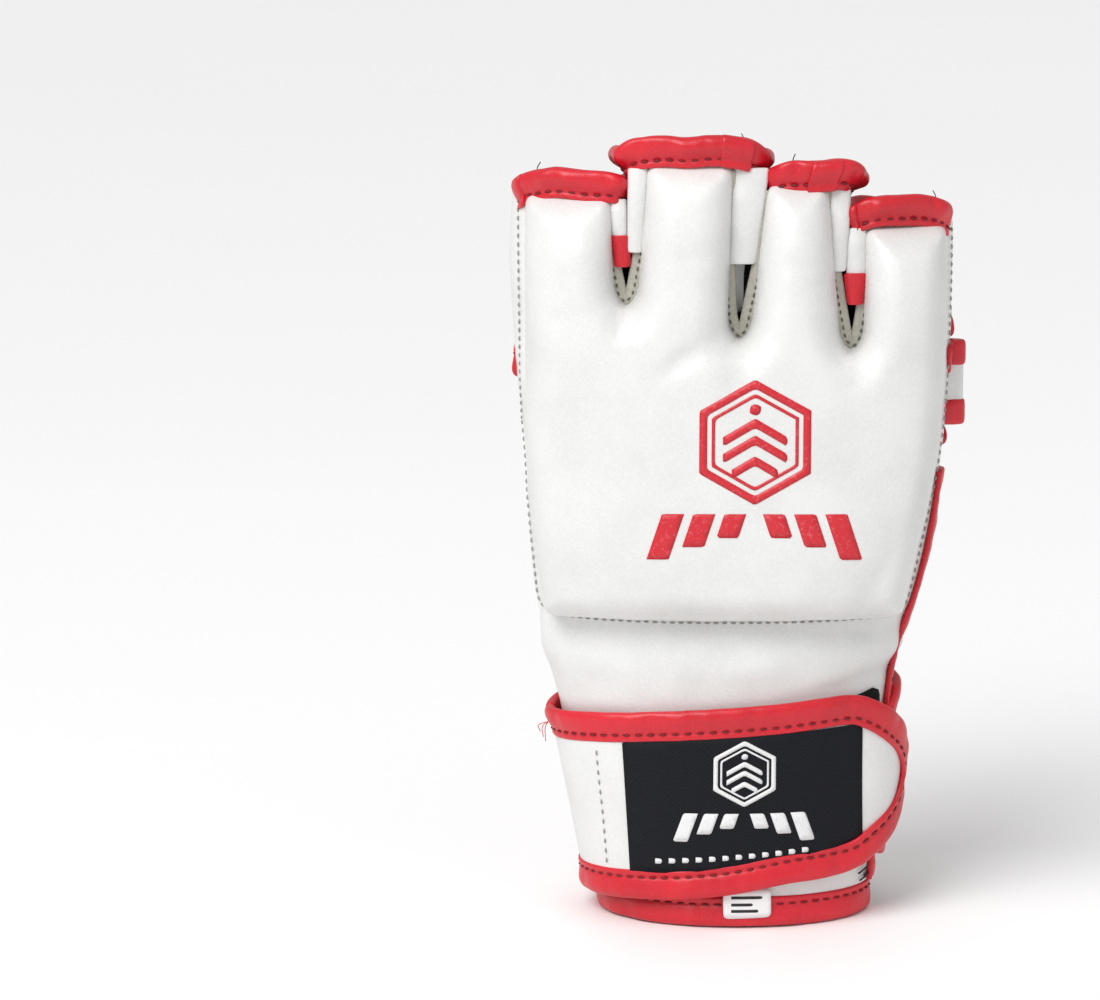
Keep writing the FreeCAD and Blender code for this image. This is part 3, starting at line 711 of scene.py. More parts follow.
def thread_material(name, dark, light, rough=0.6):
    """Twisted sewing thread."""
    made, tree, shader, place = node_material(name)
    twist = noise_node(tree, place, 0.28, 2.0, 0.6)
    tree.links.new(ramp(tree, twist, [(0.3, dark), (0.7, light)]),
                   shader.inputs["Base Color"])
    shader.inputs["Roughness"].default_value = rough
    bump(tree, shader, [(twist, 0.5, 0.08)])
    return made


def printed_ink(name):
    """Screen-printed ink with faint cracks, a little worn."""
    made, tree, shader, place = node_material(name)
    crack = tree.nodes.new("ShaderNodeTexVoronoi")
    crack.feature = "DISTANCE_TO_EDGE"
    crack.inputs["Scale"].default_value = 0.55
    tree.links.new(place, crack.inputs["Vector"])
    wear = noise_node(tree, place, 1.2, 5.0, 0.7)
    tone = math_node(tree, "ADD", math_node(tree, "MULTIPLY", wear, 0.75),
                     math_node(tree, "MULTIPLY", crack.outputs["Distance"], 0.7))
    tree.links.new(ramp(tree, tone, [(0.26, (0.62, 0.10, 0.11)), (0.40, (0.56, 0.011, 0.022))]),
                   shader.inputs["Base Color"])
    shader.inputs["Roughness"].default_value = 0.45
    bump(tree, shader, [(wear, 0.2, 0.05)])
    return made


def soft_foam(name):
    """Closed-cell foam."""
    made, tree, shader, place = node_material(name)
    cells = tree.nodes.new("ShaderNodeTexVoronoi")
    cells.inputs["Scale"].default_value = 1.6
    tree.links.new(place, cells.inputs["Vector"])
    tree.links.new(ramp(tree, cells.outputs["Distance"], [(0.1, grey(0.05)), (0.8, grey(0.09))]),
                   shader.inputs["Base Color"])
    shader.inputs["Roughness"].default_value = 0.95
    bump(tree, shader, [(cells.outputs["Distance"], 0.5, 0.2)])
    return made


def studio_floor(name):
    """A plain pale floor with a hint of unevenness."""
    made, tree, shader, place = node_material(name)
    soft = noise_node(tree, place, 300.0, 2.0)
    tree.links.new(ramp(tree, soft, [(0.3, grey(0.955)), (0.7, grey(0.965))]),
                   shader.inputs["Base Color"])
    shader.inputs["Roughness"].default_value = 0.6
    return made


WHITE = leather("white_leather_grain", (0.645, 0.645, 0.63), (0.72, 0.72, 0.71), 0.40,
                grain_strength=0.5)
RED = leather("red_leather_grain", (0.47, 0.004, 0.012), (0.62, 0.007, 0.021), 0.40,
              grain=0.6, grain_strength=0.38, coat=0.06)
HEM = leather("turned_hem", (0.30, 0.285, 0.24), (0.46, 0.44, 0.38), 0.6, coat=0.0)
KNIT = knit("black_knit_weave", grey(0.004), grey(0.018))
TAPE = knit("loop_tape_pile", grey(0.003), grey(0.014), 0.45)
LABEL = satin_label("label_satin")
LABEL_THREAD = thread_material("label_white_thread", grey(0.62), grey(0.82))
RED_THREAD = thread_material("dark_red_thread", (0.10, 0.002, 0.005), (0.21, 0.004, 0.010))
PALE_THREAD = thread_material("grey_beige_thread", (0.22, 0.21, 0.19), (0.40, 0.385, 0.35))
DARK_THREAD = thread_material("brown_grey_thread", (0.07, 0.065, 0.055), (0.14, 0.13, 0.11))
WHITE_THREAD = thread_material("white_thread", grey(0.60), grey(0.74))
BLACK_THREAD = thread_material("black_thread", grey(0.006), grey(0.02))
INK = printed_ink("red_print_ink")
FOAM = soft_foam("padding_foam")
PAPER = leather("tag_paper", grey(0.76), grey(0.82), 0.55, grain=0.3, grain_strength=0.1,
                coat=0.0)


# ---------------------------------------------------------------- outlines

CORNER_POINTS = 7


def on_back(x, z, offset=0.0):
    """A point of the back in patch coordinates."""
    return (float(back_w(x, z, offset)[0]) * HALF_LOOP, z)


def rounded(points):
    """A closed outline whose corners (x, z, radius) are replaced by smooth bends."""
    p = [np.array(q[:2], float) for q in points]
    radii = [q[2] if len(q) > 2 else 0 for q in points]
    total = len(p)
    found = []
    for i in range(total):
        if radii[i] == 0:
            found.append(p[i])
            continue
        before, after = p[i - 1], p[(i + 1) % total]
        reach_a = min(radii[i], np.linalg.norm(before - p[i]) * 0.48)
        reach_b = min(radii[i], np.linalg.norm(after - p[i]) * 0.48)
        a = p[i] + (before - p[i]) / np.linalg.norm(before - p[i]) * reach_a
        b = p[i] + (after - p[i]) / np.linalg.norm(after - p[i]) * reach_b
        for u in np.linspace(0, 1, CORNER_POINTS):
            found.append((1 - u) ** 2 * a + 2 * u * (1 - u) * p[i] + u ** 2 * b)
    return np.array(found)


SLITS = [  # x at the bottom, z of the bottom, left x at the top, right x at the top
    (-30.6, 173.0, -34.7, -25.2),
    (-0.4, 164.0, -2.2, 6.8),
    (29.6, 161.0, 23.2, 33.0),
]
TONGUE_TOPS = (201.0, 210.0, 204.4, 192.9)
PAD_LEFT = [(-51.9, 85.5), (-55.0, 115.0), (-56.8, 142.0), (-57.5, 180.0)]
PAD_RIGHT = [(43.8, 85.5), (51.8, 122.0), (54.2, 142.0), (55.0, 170.0)]
SLIT_TIP = 3.0
PAD_SIDEWAYS = 0.18


def pad_outline(margin=0.0, top_extra=0.0, slit_grow=0.0):
    """The outer edge of the pad, or of the base panel, seen from the back."""
    left = [(x - margin, z) for x, z in PAD_LEFT]
    right = [(x + margin, z) for x, z in PAD_RIGHT]
    points = [(right[0][0], right[0][1] - margin * 0.4, 5.0),
              (left[0][0], left[0][1] - margin * 0.4, 5.0)]
    points += [(x, z, 12.0) for x, z in left[1:]]
    tops = [t + top_extra for t in TONGUE_TOPS]
    points.append((left[-1][0], tops[0], 3.5))
    for k, (x, z, top_left, top_right) in enumerate(SLITS):
        tip = SLIT_TIP - slit_grow * 0.5
        points += [(top_left + slit_grow, tops[k], 3.0),
                   (x - tip, z + 2.0 + slit_grow, 2.4), (x, z - 2.2 + slit_grow, 2.0),
                   (x + tip, z + 2.0 + slit_grow, 2.4),
                   (top_right - slit_grow, tops[k + 1], 3.0)]
    points.append((right[-1][0], tops[-1], 4.0))
    points += [(x, z, 12.0) for x, z in right[:0:-1]]
    return rounded(points)


def pad_crown(z):
    """Full height of the pad away from its edges."""
    return np.interp(z, [85, 105, 150, 172, 190, 212], [12.2, 14.0, 14.5, 13.6, 11.6, 9.2])


def tongue_gap(x, z):
    """Distance below the upper edge of the finger tongue at x."""
    edges = [(s[2] + s[3]) / 2 for s in SLITS]
    tops = np.array(TONGUE_TOPS)[np.searchsorted(edges, x)]
    return np.clip(tops - z, 0, None)


DENTS = [  # x, z, length, width, turn in degrees, depth
    (-12.5, 160.5, 9.5, 2.6, 34.0, 1.5),
    (-17.0, 160.0, 7.0, 2.2, 52.0, 0.5),
    (-1.0, 156.0, 5.0, 3.5, 90.0, 1.5),
    (-30.5, 167.0, 5.0, 3.6, 90.0, 1.1),
    (29.5, 154.0, 5.0, 3.8, 90.0, 1.2),
    (-42.0, 171.0, 12.0, 3.0, 12.0, 0.5),
    (12.0, 163.0, 9.0, 2.8, -25.0, 0.6),
    (43.0, 158.0, 12.0, 3.5, -14.0, 0.5),
    (-13.0, 186.0, 8.0, 2.4, 4.0, 0.5),
    (15.0, 184.0, 6.0, 2.2, -6.0, 0.45),
    (36.0, 98.0, 14.0, 3.0, 62.0, 0.6),
    (-44.0, 100.0, 14.0, 3.0, -66.0, 0.5),
]


def dents(x, z):
    """Shallow creases of the pad."""
    total = np.zeros(np.shape(x))
    for dx, dz, length, width, turn, depth in DENTS:
        a = math.radians(turn)
        along = (x - dx) * math.cos(a) + (z - dz) * math.sin(a)
        off = -(x - dx) * math.sin(a) + (z - dz) * math.cos(a)
        total += depth * np.exp(-(along / length) ** 2 - (off / width) ** 2)
    return total


def pad_height(x, y, z):
    """Height of the pad cover over the base panel, away from its edges."""
    places = np.stack([x, y, z], axis=1)
    return (pad_crown(z) - dents(x, z) + 0.35 * wobble(places, 34.0, 3.0)
            + 0.10 * wobble(places, 9.0, 8.0))


# ---------------------------------------------------------------- back of the hand

PAD_ROUND = 9.5


def patch_places(patch):
    """Where a patch's points lie on the hand tube."""
    return on_hand(patch.w(), patch.z())


def make_pad():
    """The knuckle pad: leather cover and foam, and its seam."""
    outline_xz = pad_outline()
    patch = Patch(loop_of(outline_xz, back_w, 1.5), grid=2.0,
                  rings=(0.3, 0.8, 1.6, 2.7, 4.2, 6.0, 8.0))
    at = patch_places(patch)
    rise = edge_round(patch.edge_gap, PAD_ROUND)
    rise *= 0.24 + 0.76 * edge_round(tongue_gap(at[:, 0], at[:, 2]), 19.0)
    top = 0.5 + pad_height(at[:, 0], at[:, 1], at[:, 2]) * rise
    near_seam = np.exp(-((patch.edge_gap - 2.2) / 2.4) ** 2)
    top += 0.22 * near_seam * wobble(at, 6.5, 21.0)
    cover = patch.solid("knuckle_pad_cover_skin", WHITE, top, 0.45, 1, PAD_SIDEWAYS)
    finish_piece(cover, "glove", ["knuckle_pad_cover"])
    core = Patch(loop_of(pad_outline(margin=-1.6, top_extra=-1.6, slit_grow=-1.6), back_w, 3.0),
                 grid=4.0, rings=(1.2, 3.5))
    at = patch_places(core)
    inner = 0.7 + (pad_crown(at[:, 2]) - 4.6) * edge_round(core.edge_gap, 9.5) \
        * (0.1 + 0.9 * edge_round(tongue_gap(at[:, 0], at[:, 2]) - 2.0, 20.0))
    foam = core.solid("knuckle_foam_block", FOAM, inner, 0.6, 0, PAD_SIDEWAYS)
    finish_piece(foam, "glove", ["knuckle_foam"])
    line = even_path(loop_of(pad_outline(margin=1.5), back_w, 1.0), 0.8, closed=True)
    low_part = line[(line[:, 1] < 199)]
    start = int(np.argmax(np.linalg.norm(np.diff(low_part, axis=0), axis=1))) + 1
    low_part = np.roll(low_part, -start, axis=0)
    keep = ~np.any([(np.abs(low_part[:, 0] / HALF_LOOP
                            - float(back_w(s[0], s[1])[0])) < 0.06) & (low_part[:, 1] > 155)
                    for s in SLITS], axis=0)
    runs = np.split(low_part, np.where(np.diff(keep.astype(int)) != 0)[0] + 1)
    flags = np.split(keep, np.where(np.diff(keep.astype(int)) != 0)[0] + 1)
    count = 0
    for piece, flag in zip(runs, flags):
        if not flag.all() or len(piece) < 12:
            continue
        w, z = piece[:, 0] / HALF_LOOP, piece[:, 1]
        sewn = stitches(f"pad_seam_stitches_{count}", on_hand(w, z, np.full(len(w), 0.75)),
                        normal_at(w, z), PALE_THREAD, pitch=2.35, length=1.5, radius=0.26)
        finish_piece(sewn, "glove")
        count += 1


def make_base_panel():
    """The flat panel that carries the pad, with its slits."""
    tops = [top - 1.0 for top in TONGUE_TOPS]
    points = [(HALF_LOOP, 85.5), (0.0, 85.5), (0.0, tops[0])]
    for k, (x, z, left, right) in enumerate(SLITS):
        points += [on_back(left - 2.0, tops[k]), on_back(x - 2.4, z + 3.0),
                   on_back(x, z - 0.6), on_back(x + 2.4, z + 3.0),
                   on_back(right + 2.0, tops[k + 1])]
    points.append((HALF_LOOP, tops[-1]))
    patch = Patch(even_path(points, 2.2, closed=True), grid=3.0, rings=(0.9,))
    at = patch_places(patch)
    top = 0.55 + 0.25 * wobble(at, 17.0, 5.0)
    top = np.where(patch.edge_gap < 0.4, 0.2, top)
    panel = patch.solid("dorsal_base_panel_skin", WHITE, top, -0.6, level=1)
    finish_piece(panel, "glove", ["dorsal_base_panel"])


def make_wrist_panel():
    """The plain panel under the strap, full above it and puckered at its seam."""
    points = [(HALF_LOOP - 1.0, 1.2), (0.0, 1.2), (0.0, 87.0), (HALF_LOOP - 1.0, 87.0)]
    patch = Patch(even_path(points, 2.2, closed=True), grid=2.8, rings=(0.9,))
    at = patch_places(patch)
    z, x = at[:, 2], at[:, 0]
    puff = 2.5 * np.exp(-((z - 74.5) / 7.0) ** 2) * (0.8 + 0.35 * wobble(at, 20.0, 2.0))
    near_pad = np.exp(-((z - 82.0) / 4.0) ** 2)
    right = 1 / (1 + np.exp(-(x - 20) / 7))
    pleat = np.abs(np.sin(x / 3.1 + 0.12 * z)) * (0.25 + 0.95 * right)
    fold_at_side = 1.1 * right * np.exp(-((z - 68.0 - 0.25 * (x - 35.0)) / 2.2) ** 2)
    top = 0.3 + puff - fold_at_side - near_pad * pleat * 0.9 + 0.25 * wobble(at, 9.0, 4.0) * (z > 60)
    top = np.where(patch.edge_gap < 0.4, 0.1, top)
    panel = patch.solid("wrist_back_panel_skin", WHITE, top, -0.9, level=1)
    finish_piece(panel, "glove", ["wrist_back_panel"])


def make_back_layers():
    """Foam and knit lining behind the back of the glove."""
    foam_edge = [(HALF_LOOP - 9.0, 8.0), (3.0, 8.0), (2.0, 158.0), (HALF_LOOP - 5.0, 158.0)]
    patch = Patch(even_path(foam_edge, 4.0, closed=True), grid=6.0)
    foam = patch.solid("back_foam_layer", FOAM, -1.1, -2.9)
    finish_piece(foam, "glove", ["back_foam_sheet"])
    lining_edge = [(HALF_LOOP - 3.5, 3.0), (1.0, 3.0), (1.0, 186.0)]
    for k, (x, _, left, right) in enumerate(SLITS):
        lining_edge += [on_back(left - 3.0, 186.0 + k * 2), on_back(x, 183.0),
                        on_back(right + 3.0, 186.0 + k)]
    lining_edge.append((HALF_LOOP - 1.5, 183.0))
    patch = Patch(even_path(lining_edge, 3.0, closed=True), grid=4.0)
    at = patch_places(patch)
    ripple = 0.25 * wobble(at, 15.0, 12.0)
    lining = patch.solid("dorsal_lining_cloth", KNIT, -3.1 + ripple, -3.7 + ripple, level=1)
    finish_piece(lining, "glove", ["dorsal_lining"])


def make_slit_hems():
    """Turned edges of the three slits, with their stitches."""
    for finger, (x, z, left, right), k in zip(("index", "middle", "ring"), SLITS, range(3)):
        low_left, low_right = TONGUE_TOPS[k] - 1.5, TONGUE_TOPS[k + 1] - 1.5
        path = [on_back(left, low_left), on_back((left + x - 1.4) / 2 - 0.4,
                                                 (low_left + z) / 2 + 2),
                on_back(x - 1.5, z + 6.5), on_back(x - 0.6, z + 2.2), on_back(x, z + 0.8),
                on_back(x + 0.6, z + 2.2), on_back(x + 1.5, z + 6.5),
                on_back((right + x + 1.4) / 2 + 0.4, (low_right + z) / 2 + 2),
                on_back(right, low_right)]
        path = smooth_path(path, 1.0)
        w, level = path[:, 0] / HALF_LOOP, path[:, 1]
        places = on_hand(w, level, np.full(len(w), 0.7))
        normals = normal_at(w, level)
        across = -np.cross(normals, path_frames(places, False))
        made = sweep_fold(f"{finger}_slit_hem_edge", places, normals, across, HEM, width=4.4,
                          fat=0.6, rumple=0.12, seed=40 + k)
        finish_piece(made, "glove", [f"{finger}_slit_hem"])
        sewn = stitches(f"{finger}_slit_stitches", places + across * 1.3 + normals * 1.2,
                        normals, DARK_THREAD, pitch=2.1, length=1.3, radius=0.26)
        finish_piece(sewn, "glove")


# ---------------------------------------------------------------- finger loops

# side limits as (level, left x, right x) rows; top and lower edges of the loop
LOOPS = {
    "index": dict(sides=[(150, -58.0, -30.6), (196, -58.4, -30.4), (208, -58.6, -30.4)],
                  top=207.6, drop=6.0, left_low=168.0, right_low=182.0, square=4.2,
                  tongue=201.5),
    "middle": dict(sides=[(150, -29.0, 4.4), (205, -30.0, 5.2), (211, -33.6, 6.3),
                          (218, -34.2, 6.8)],
                   top=216.4, drop=7.0, left_low=185.0, right_low=182.5, square=4.2,
                   tongue=210.5),
    "ring": dict(sides=[(150, 6.2, 26.8), (200, 6.4, 27.8), (205, 7.2, 32.4),
                        (212, 7.6, 33.0)],
                 top=210.4, drop=6.5, left_low=182.5, right_low=180.5, square=4.2,
                 tongue=205.0),
    "little": dict(sides=[(150, 28.6, 55.0), (190, 28.8, 55.8), (201, 28.6, 56.2)],
                   top=199.8, drop=5.0, left_low=173.0, right_low=164.0, square=4.2,
                   tongue=193.5),
}


def loop_plan(finger, turn, z, inset=0.0, front=None):
    """A point of a loop: turn is 0 at the right, a quarter turn at the back of the hand.
    front sets how far the back of the loop stands out of the base panel."""
    facts = LOOPS[finger]
    rows = np.array(facts["sides"])
    left = np.interp(z, rows[:, 0], rows[:, 1]) + inset
    right = np.interp(z, rows[:, 0], rows[:, 2]) - inset
    middle, half_width = (left + right) / 2, (right - left) / 2
    c, s = np.cos(turn), np.sin(turn)
    power = 2 / np.where(s > 0, facts["square"], 3.2)
    x = middle + half_width * np.sign(c) * np.abs(c) ** power
    safe = np.clip(x, middle - half_width * 0.9, middle + half_width * 0.9)
    behind = np.interp(z - facts["tongue"], [-7.0, -1.0, 4.0], [1.5, 0.6, -2.0])
    if front is not None:
        behind = np.full(np.shape(z), -front)
    back = sample(TUBE, back_w(safe, z), z)[:, 1] + behind + inset
    palm = sample(TUBE, palm_w(safe, z), z)[:, 1] - 1.2 - inset
    y = (back + palm) / 2 - (palm - back) / 2 * np.sign(s) * np.abs(s) ** power
    return np.stack([x, y, z], axis=1)


RIM_FRONT = 2.7


def loop_top(finger, turn):
    """Level of a loop's upper edge."""
    facts = LOOPS[finger]
    palm_side = 0.5 - 0.5 * np.sin(turn)
    return facts["top"] - facts["drop"] * palm_side - 1.6 * np.cos(turn) ** 2


def loop_low(finger, turn):
    """Level of a loop's lower edge: higher where two fingers meet."""
    facts = LOOPS[finger]
    side = np.where(np.cos(turn) > 0, facts["right_low"], facts["left_low"])
    share = np.abs(np.cos(turn)) ** 4
    front = np.where(np.sin(turn) > 0, 168.0, 160.0)
    return front * (1 - share) + side * share


def seed_of(finger):
    """A fixed noise seed for each finger."""
    return {"index": 3.0, "middle": 7.0, "ring": 15.0, "little": 22.0}[finger]


def loop_wall(name, finger, inset, thickness, material, nodes=(), level=1):
    """The wall of a finger loop between two insets, as a closed shell."""
    count, rows = 72, 15
    turn = np.linspace(0, 2 * math.pi, count, endpoint=False)
    top, low = loop_top(finger, turn) - 0.8, loop_low(finger, turn)
    verts = []
    for side_inset in (inset, inset + thickness):
        for u in np.linspace(0, 1, rows):
            z = low * (1 - u) + top * u
            ring_points = loop_plan(finger, turn, z, side_inset)
            soft = wobble(ring_points, 12.0, len(finger)) * 0.5 * min(1.0, 3.0 * (1 - u))
            palm_side = np.clip(-np.sin(turn), 0, 1) ** 0.5
            folded = wobble(ring_points * np.array([1.0, 0.2, 0.7]), 11.0, seed_of(finger))
            soft = soft + palm_side * folded * 1.9 * np.exp(-((z - 180.0) / 11.0) ** 2)
            ring_points[:, 1] += soft * np.sin(turn) * -1.0
            ring_points[:, 0] += soft * np.cos(turn) * 0.5
            verts.append(ring_points)
    verts = np.vstack(verts)
    faces = []
    layer = count * rows
    for r in range(rows - 1):
        for a in range(count):
            b = (a + 1) % count
            lo, hi = r * count, (r + 1) * count
            faces.append((lo + a, lo + b, hi + b, hi + a))
            faces.append((layer + lo + b, layer + lo + a, layer + hi + a, layer + hi + b))
    for a in range(count):
        b = (a + 1) % count
        faces.append((b, a, layer + a, layer + b))
        up = (rows - 1) * count
        faces.append((up + a, up + b, layer + up + b, layer + up + a))
    made = mesh_object(name, verts, faces, material, level)
    make_normals_outward(made)
    finish_piece(made, "glove", nodes)


# folded leather in the slits: upper level, left, right, then lower level, left, right
STRIPS = {
    "index_side_strip": (200.2, -35.3, -30.3, 189.0, -34.3, -30.2),
    "index_strip_patch": (190.6, -34.6, -29.4, 182.0, -33.6, -29.2),
    "middle_left_strip": (208.6, -30.2, -24.7, 186.0, -30.3, -25.8),
    "middle_right_strip": (208.8, -2.4, 7.4, 183.0, -3.9, 4.0),
    "ring_right_strip": (202.8, 23.0, 29.2, 180.8, 23.7, 28.0),
    "little_side_strip": (192.4, 28.2, 33.6, 178.6, 27.8, 33.2),
    "little_strip_patch": (180.4, 27.0, 33.4, 171.8, 28.2, 32.6),
}


def make_strips():
    """The folded side leather of the loops that shows in the slits."""
    for name, (high, high_left, high_right, low, low_left, low_right) in STRIPS.items():
        red = name.endswith("patch")
        corners = [(low_left, low), (low_right, low), (high_right, high), (high_left, high)]
        patch = Patch(loop_of(corners, back_w, 0.9), grid=1.1, rings=(0.3, 0.8))
        at = patch_places(patch)
        share = (at[:, 2] - low) / (high - low)
        left = low_left + (high_left - low_left) * share
        right = low_right + (high_right - low_right) * share
        u = np.clip((at[:, 0] - left) / (right - left), 0, 1)
        bulge = np.sqrt(np.clip(1 - (2 * u - 1) ** 2, 0, 1))
        in_front = 0.9 if red or name == "middle_left_strip" else 0.3
        top = in_front + 0.9 + 1.5 * bulge + 0.2 * wobble(at, 5.0, high)
        if not red:
            top -= 1.1 * np.clip((share - 0.72) / 0.28, 0, 1)
        made = patch.solid(name, RED if red else WHITE, top, in_front + 0.2, level=1)
        finish_piece(made, "glove")


def make_finger_loop(finger):
    """White band, black inside and rumpled red rim of one finger."""
    loop_wall(f"{finger}_finger_loop", finger, 0.0, 0.9, WHITE,
              [f"{finger}_finger_band"])
    loop_wall(f"{finger}_loop_inside", finger, 0.95, 0.5, KNIT)
    start = {"index": 2.5, "middle": 0.9, "ring": 1.3, "little": 2.2}[finger]
    turn = np.linspace(start, start + 2 * math.pi, 200)[:-1]
    upper = loop_plan(finger, turn, loop_top(finger, turn), 0.1, RIM_FRONT)
    lower = loop_plan(finger, turn, loop_top(finger, turn) - 7.0, 0.1, RIM_FRONT)
    seed = seed_of(finger)
    both = even_path(np.hstack([upper, lower]), 1.5, closed=True)
    ring_points, across = both[:, :3], both[:, 3:] - both[:, :3]
    across /= np.linalg.norm(across, axis=1, keepdims=True)
    ring_points[:, 2] += wobble(ring_points, 10.0, seed) * 0.8
    way = path_frames(ring_points, True)
    normals = np.cross(way, across)
    middle = ring_points.mean(axis=0)
    outward = ((ring_points - middle) * normals)[:, :2].sum(axis=1).mean()
    if outward < 0:
        normals = -normals
    normals /= np.linalg.norm(normals, axis=1, keepdims=True)
    made = sweep_fold(f"{finger}_rim_fold", ring_points, normals, across, RED, width=7.6,
                      fat=1.38, closed=True, rumple=0.85, seed=seed)
    finish_piece(made, "glove", [f"{finger}_rim_binding"])
    line = ring_points + across * (7.6 - STITCH_ACROSS) + normals * 0.85
    sewn = stitches(f"{finger}_rim_stitches", np.vstack([line, line[:1]]),
                    np.vstack([normals, normals[:1]]), RED_THREAD)
    finish_piece(sewn, "glove")
    lap = 9
    made = sweep_fold(f"{finger}_rim_overlap", ring_points[:lap] + normals[:lap] * 0.55,
                      normals[:lap], across[:lap], RED, width=7.9, fat=1.45, rumple=0.3,
                      seed=seed + 5)
    finish_piece(made, "glove")


# ---------------------------------------------------------------- palm

OPENING_TOP = [(59.5, 160.5), (50.0, 158.5), (36.0, 156.6), (18.0, 155.6), (0.0, 155.2),
               (-18.0, 154.4), (-36.0, 152.8), (-50.0, 151.0), (-58.5, 150.0)]
OPENING_LOW = [(59.5, 158.5), (50.0, 148.5), (42.0, 141.5), (33.0, 136.8), (20.0, 133.8),
               (4.0, 132.8), (-12.0, 133.6), (-28.0, 136.6), (-44.0, 142.6), (-58.5, 150.0)]
ENTRY = [(17.5, 0.8), (17.6, 30.0), (17.8, 60.0), (17.6, 88.0), (18.6, 101.0), (24.5, 110.0),
         (34.0, 117.0), (45.0, 123.5), (57.0, 131.0)]
CUTOUT = [(30.0, 179.5), (29.6, 175.2), (26.4, 171.6), (19.0, 169.6), (7.0, 168.6),
          (-7.0, 168.4), (-18.0, 169.4), (-24.4, 172.4), (-28.0, 178.0), (-28.8, 185.5)]
SEAM = [(2.0, 133.0), (10.5, 118.0), (18.0, 103.0)]
THUMB_CENTRE, THUMB_RADII, THUMB_TILT = (-21.0, 90.0), (18.0, 24.2), 18.0
ULNAR = -HALF_LOOP


def palm_path(points, step=1.3):
    """A smooth palm curve in patch coordinates."""
    return even_path(domain(smooth_path(points, step), palm_w), step)


def thumb_loop(grow=0.0, step=1.3):
    """The tilted thumb hole in patch coordinates, clockwise seen from outside."""
    tilt = math.radians(THUMB_TILT)
    points = []
    for a in np.linspace(0, 2 * math.pi, 72, endpoint=False):
        u = (THUMB_RADII[0] + grow) * math.cos(a)
        v = (THUMB_RADII[1] + grow) * math.sin(a)
        points.append((THUMB_CENTRE[0] + u * math.cos(tilt) - v * math.sin(tilt),
                       THUMB_CENTRE[1] + u * math.sin(tilt) + v * math.cos(tilt)))
    return even_path(domain(np.array(points), palm_w), step, closed=True)


def pull(at):
    """Soft drag lines of the palm leather."""
    return (0.55 * wobble(at * np.array([1.0, 1.0, 0.55]), 17.0, 60.0)
            + 0.16 * wobble(at, 6.0, 61.0))


def palm_solid(name, nodes, outline_points, holes=()):
    """A palm panel and the knit behind it."""
    patch = Patch(even_path(outline_points, 1.9, closed=True), holes, grid=2.6, rings=(0.9,))
    at = patch_places(patch)
    top = 0.25 + pull(at) * np.clip((patch.edge_gap - 6.5) / 9.0, 0, 1)
    made = patch.solid(name, WHITE, top, top - 0.95, level=1)
    finish_piece(made, "glove", nodes)
    lined = patch.solid(name + "_backing", KNIT, top - 1.0, top - 1.45)
    finish_piece(lined, "glove")


def loose_thread(name, points, material, body, radius=0.16):
    """A short end of thread through the given points."""
    path = smooth_path(points, 0.5)
    way = path_frames(path, False)
    side = np.cross(way, np.array([0.31, 0.83, 0.46]))
    side /= np.linalg.norm(side, axis=1, keepdims=True)
    up = np.cross(side, way)
    sides = 6
    verts = [path + (side * math.cos(a) + up * math.sin(a)) * radius
             for a in np.arange(sides) * 2 * math.pi / sides]
    verts = np.stack(verts, axis=1).reshape(-1, 3)
    made = mesh_object(name, verts, ring_faces(len(path), sides), material)
    make_normals_outward(made)
    finish_piece(made, body)


def make_loose_threads():
    """Thread ends at the rims, the strap and the cuff's bar tack."""
    for finger, turn, lean in (("index", 2.2, 1.0), ("middle", 1.0, -0.8),
                               ("ring", 1.9, 0.7), ("little", 0.9, -1.0)):
        at = loop_plan(finger, np.array([turn]), loop_top(finger, np.array([turn])), 1.0,
                       RIM_FRONT)[0]
        loose_thread(f"{finger}_thread_end", [at + np.array([0, 0.4, -1.5]),
                                              at + np.array([0.3 * lean, -0.2, 1.0]),
                                              at + np.array([1.1 * lean, -0.8, 2.6])],
                     BLACK_THREAD, "glove", 0.14)
    corner = on_hand(np.array([0.02]), np.array([53.5]), np.array([4.8]))[0]
    for k, (dx, dz) in enumerate(((-1.6, -4.2), (-2.6, -2.6), (-0.8, -5.4))):
        loose_thread(f"strap_fray_{k}", [corner, corner + np.array([dx, -0.3, dz * 0.35]),
                                         corner + np.array([dx * 0.8, -0.8, dz])],
                     RED, "strap_wrap", 0.12)
    for k, (x, z) in enumerate(((33.0, 11.6), (34.6, 10.4), (33.4, 9.4))):
        w = back_w(np.array([x, x + 2.2]), np.array([z, z + 1.0]))
        line = on_hand(w, np.array([z, z + 1.0]), np.array([1.0, 1.0]))
        loose_thread(f"cuff_bar_tack_{k}", [line[0], (line[0] + line[1]) / 2
                                            + np.array([0, -0.35, 0]), line[1]],
                     BLACK_THREAD, "glove", 0.26)


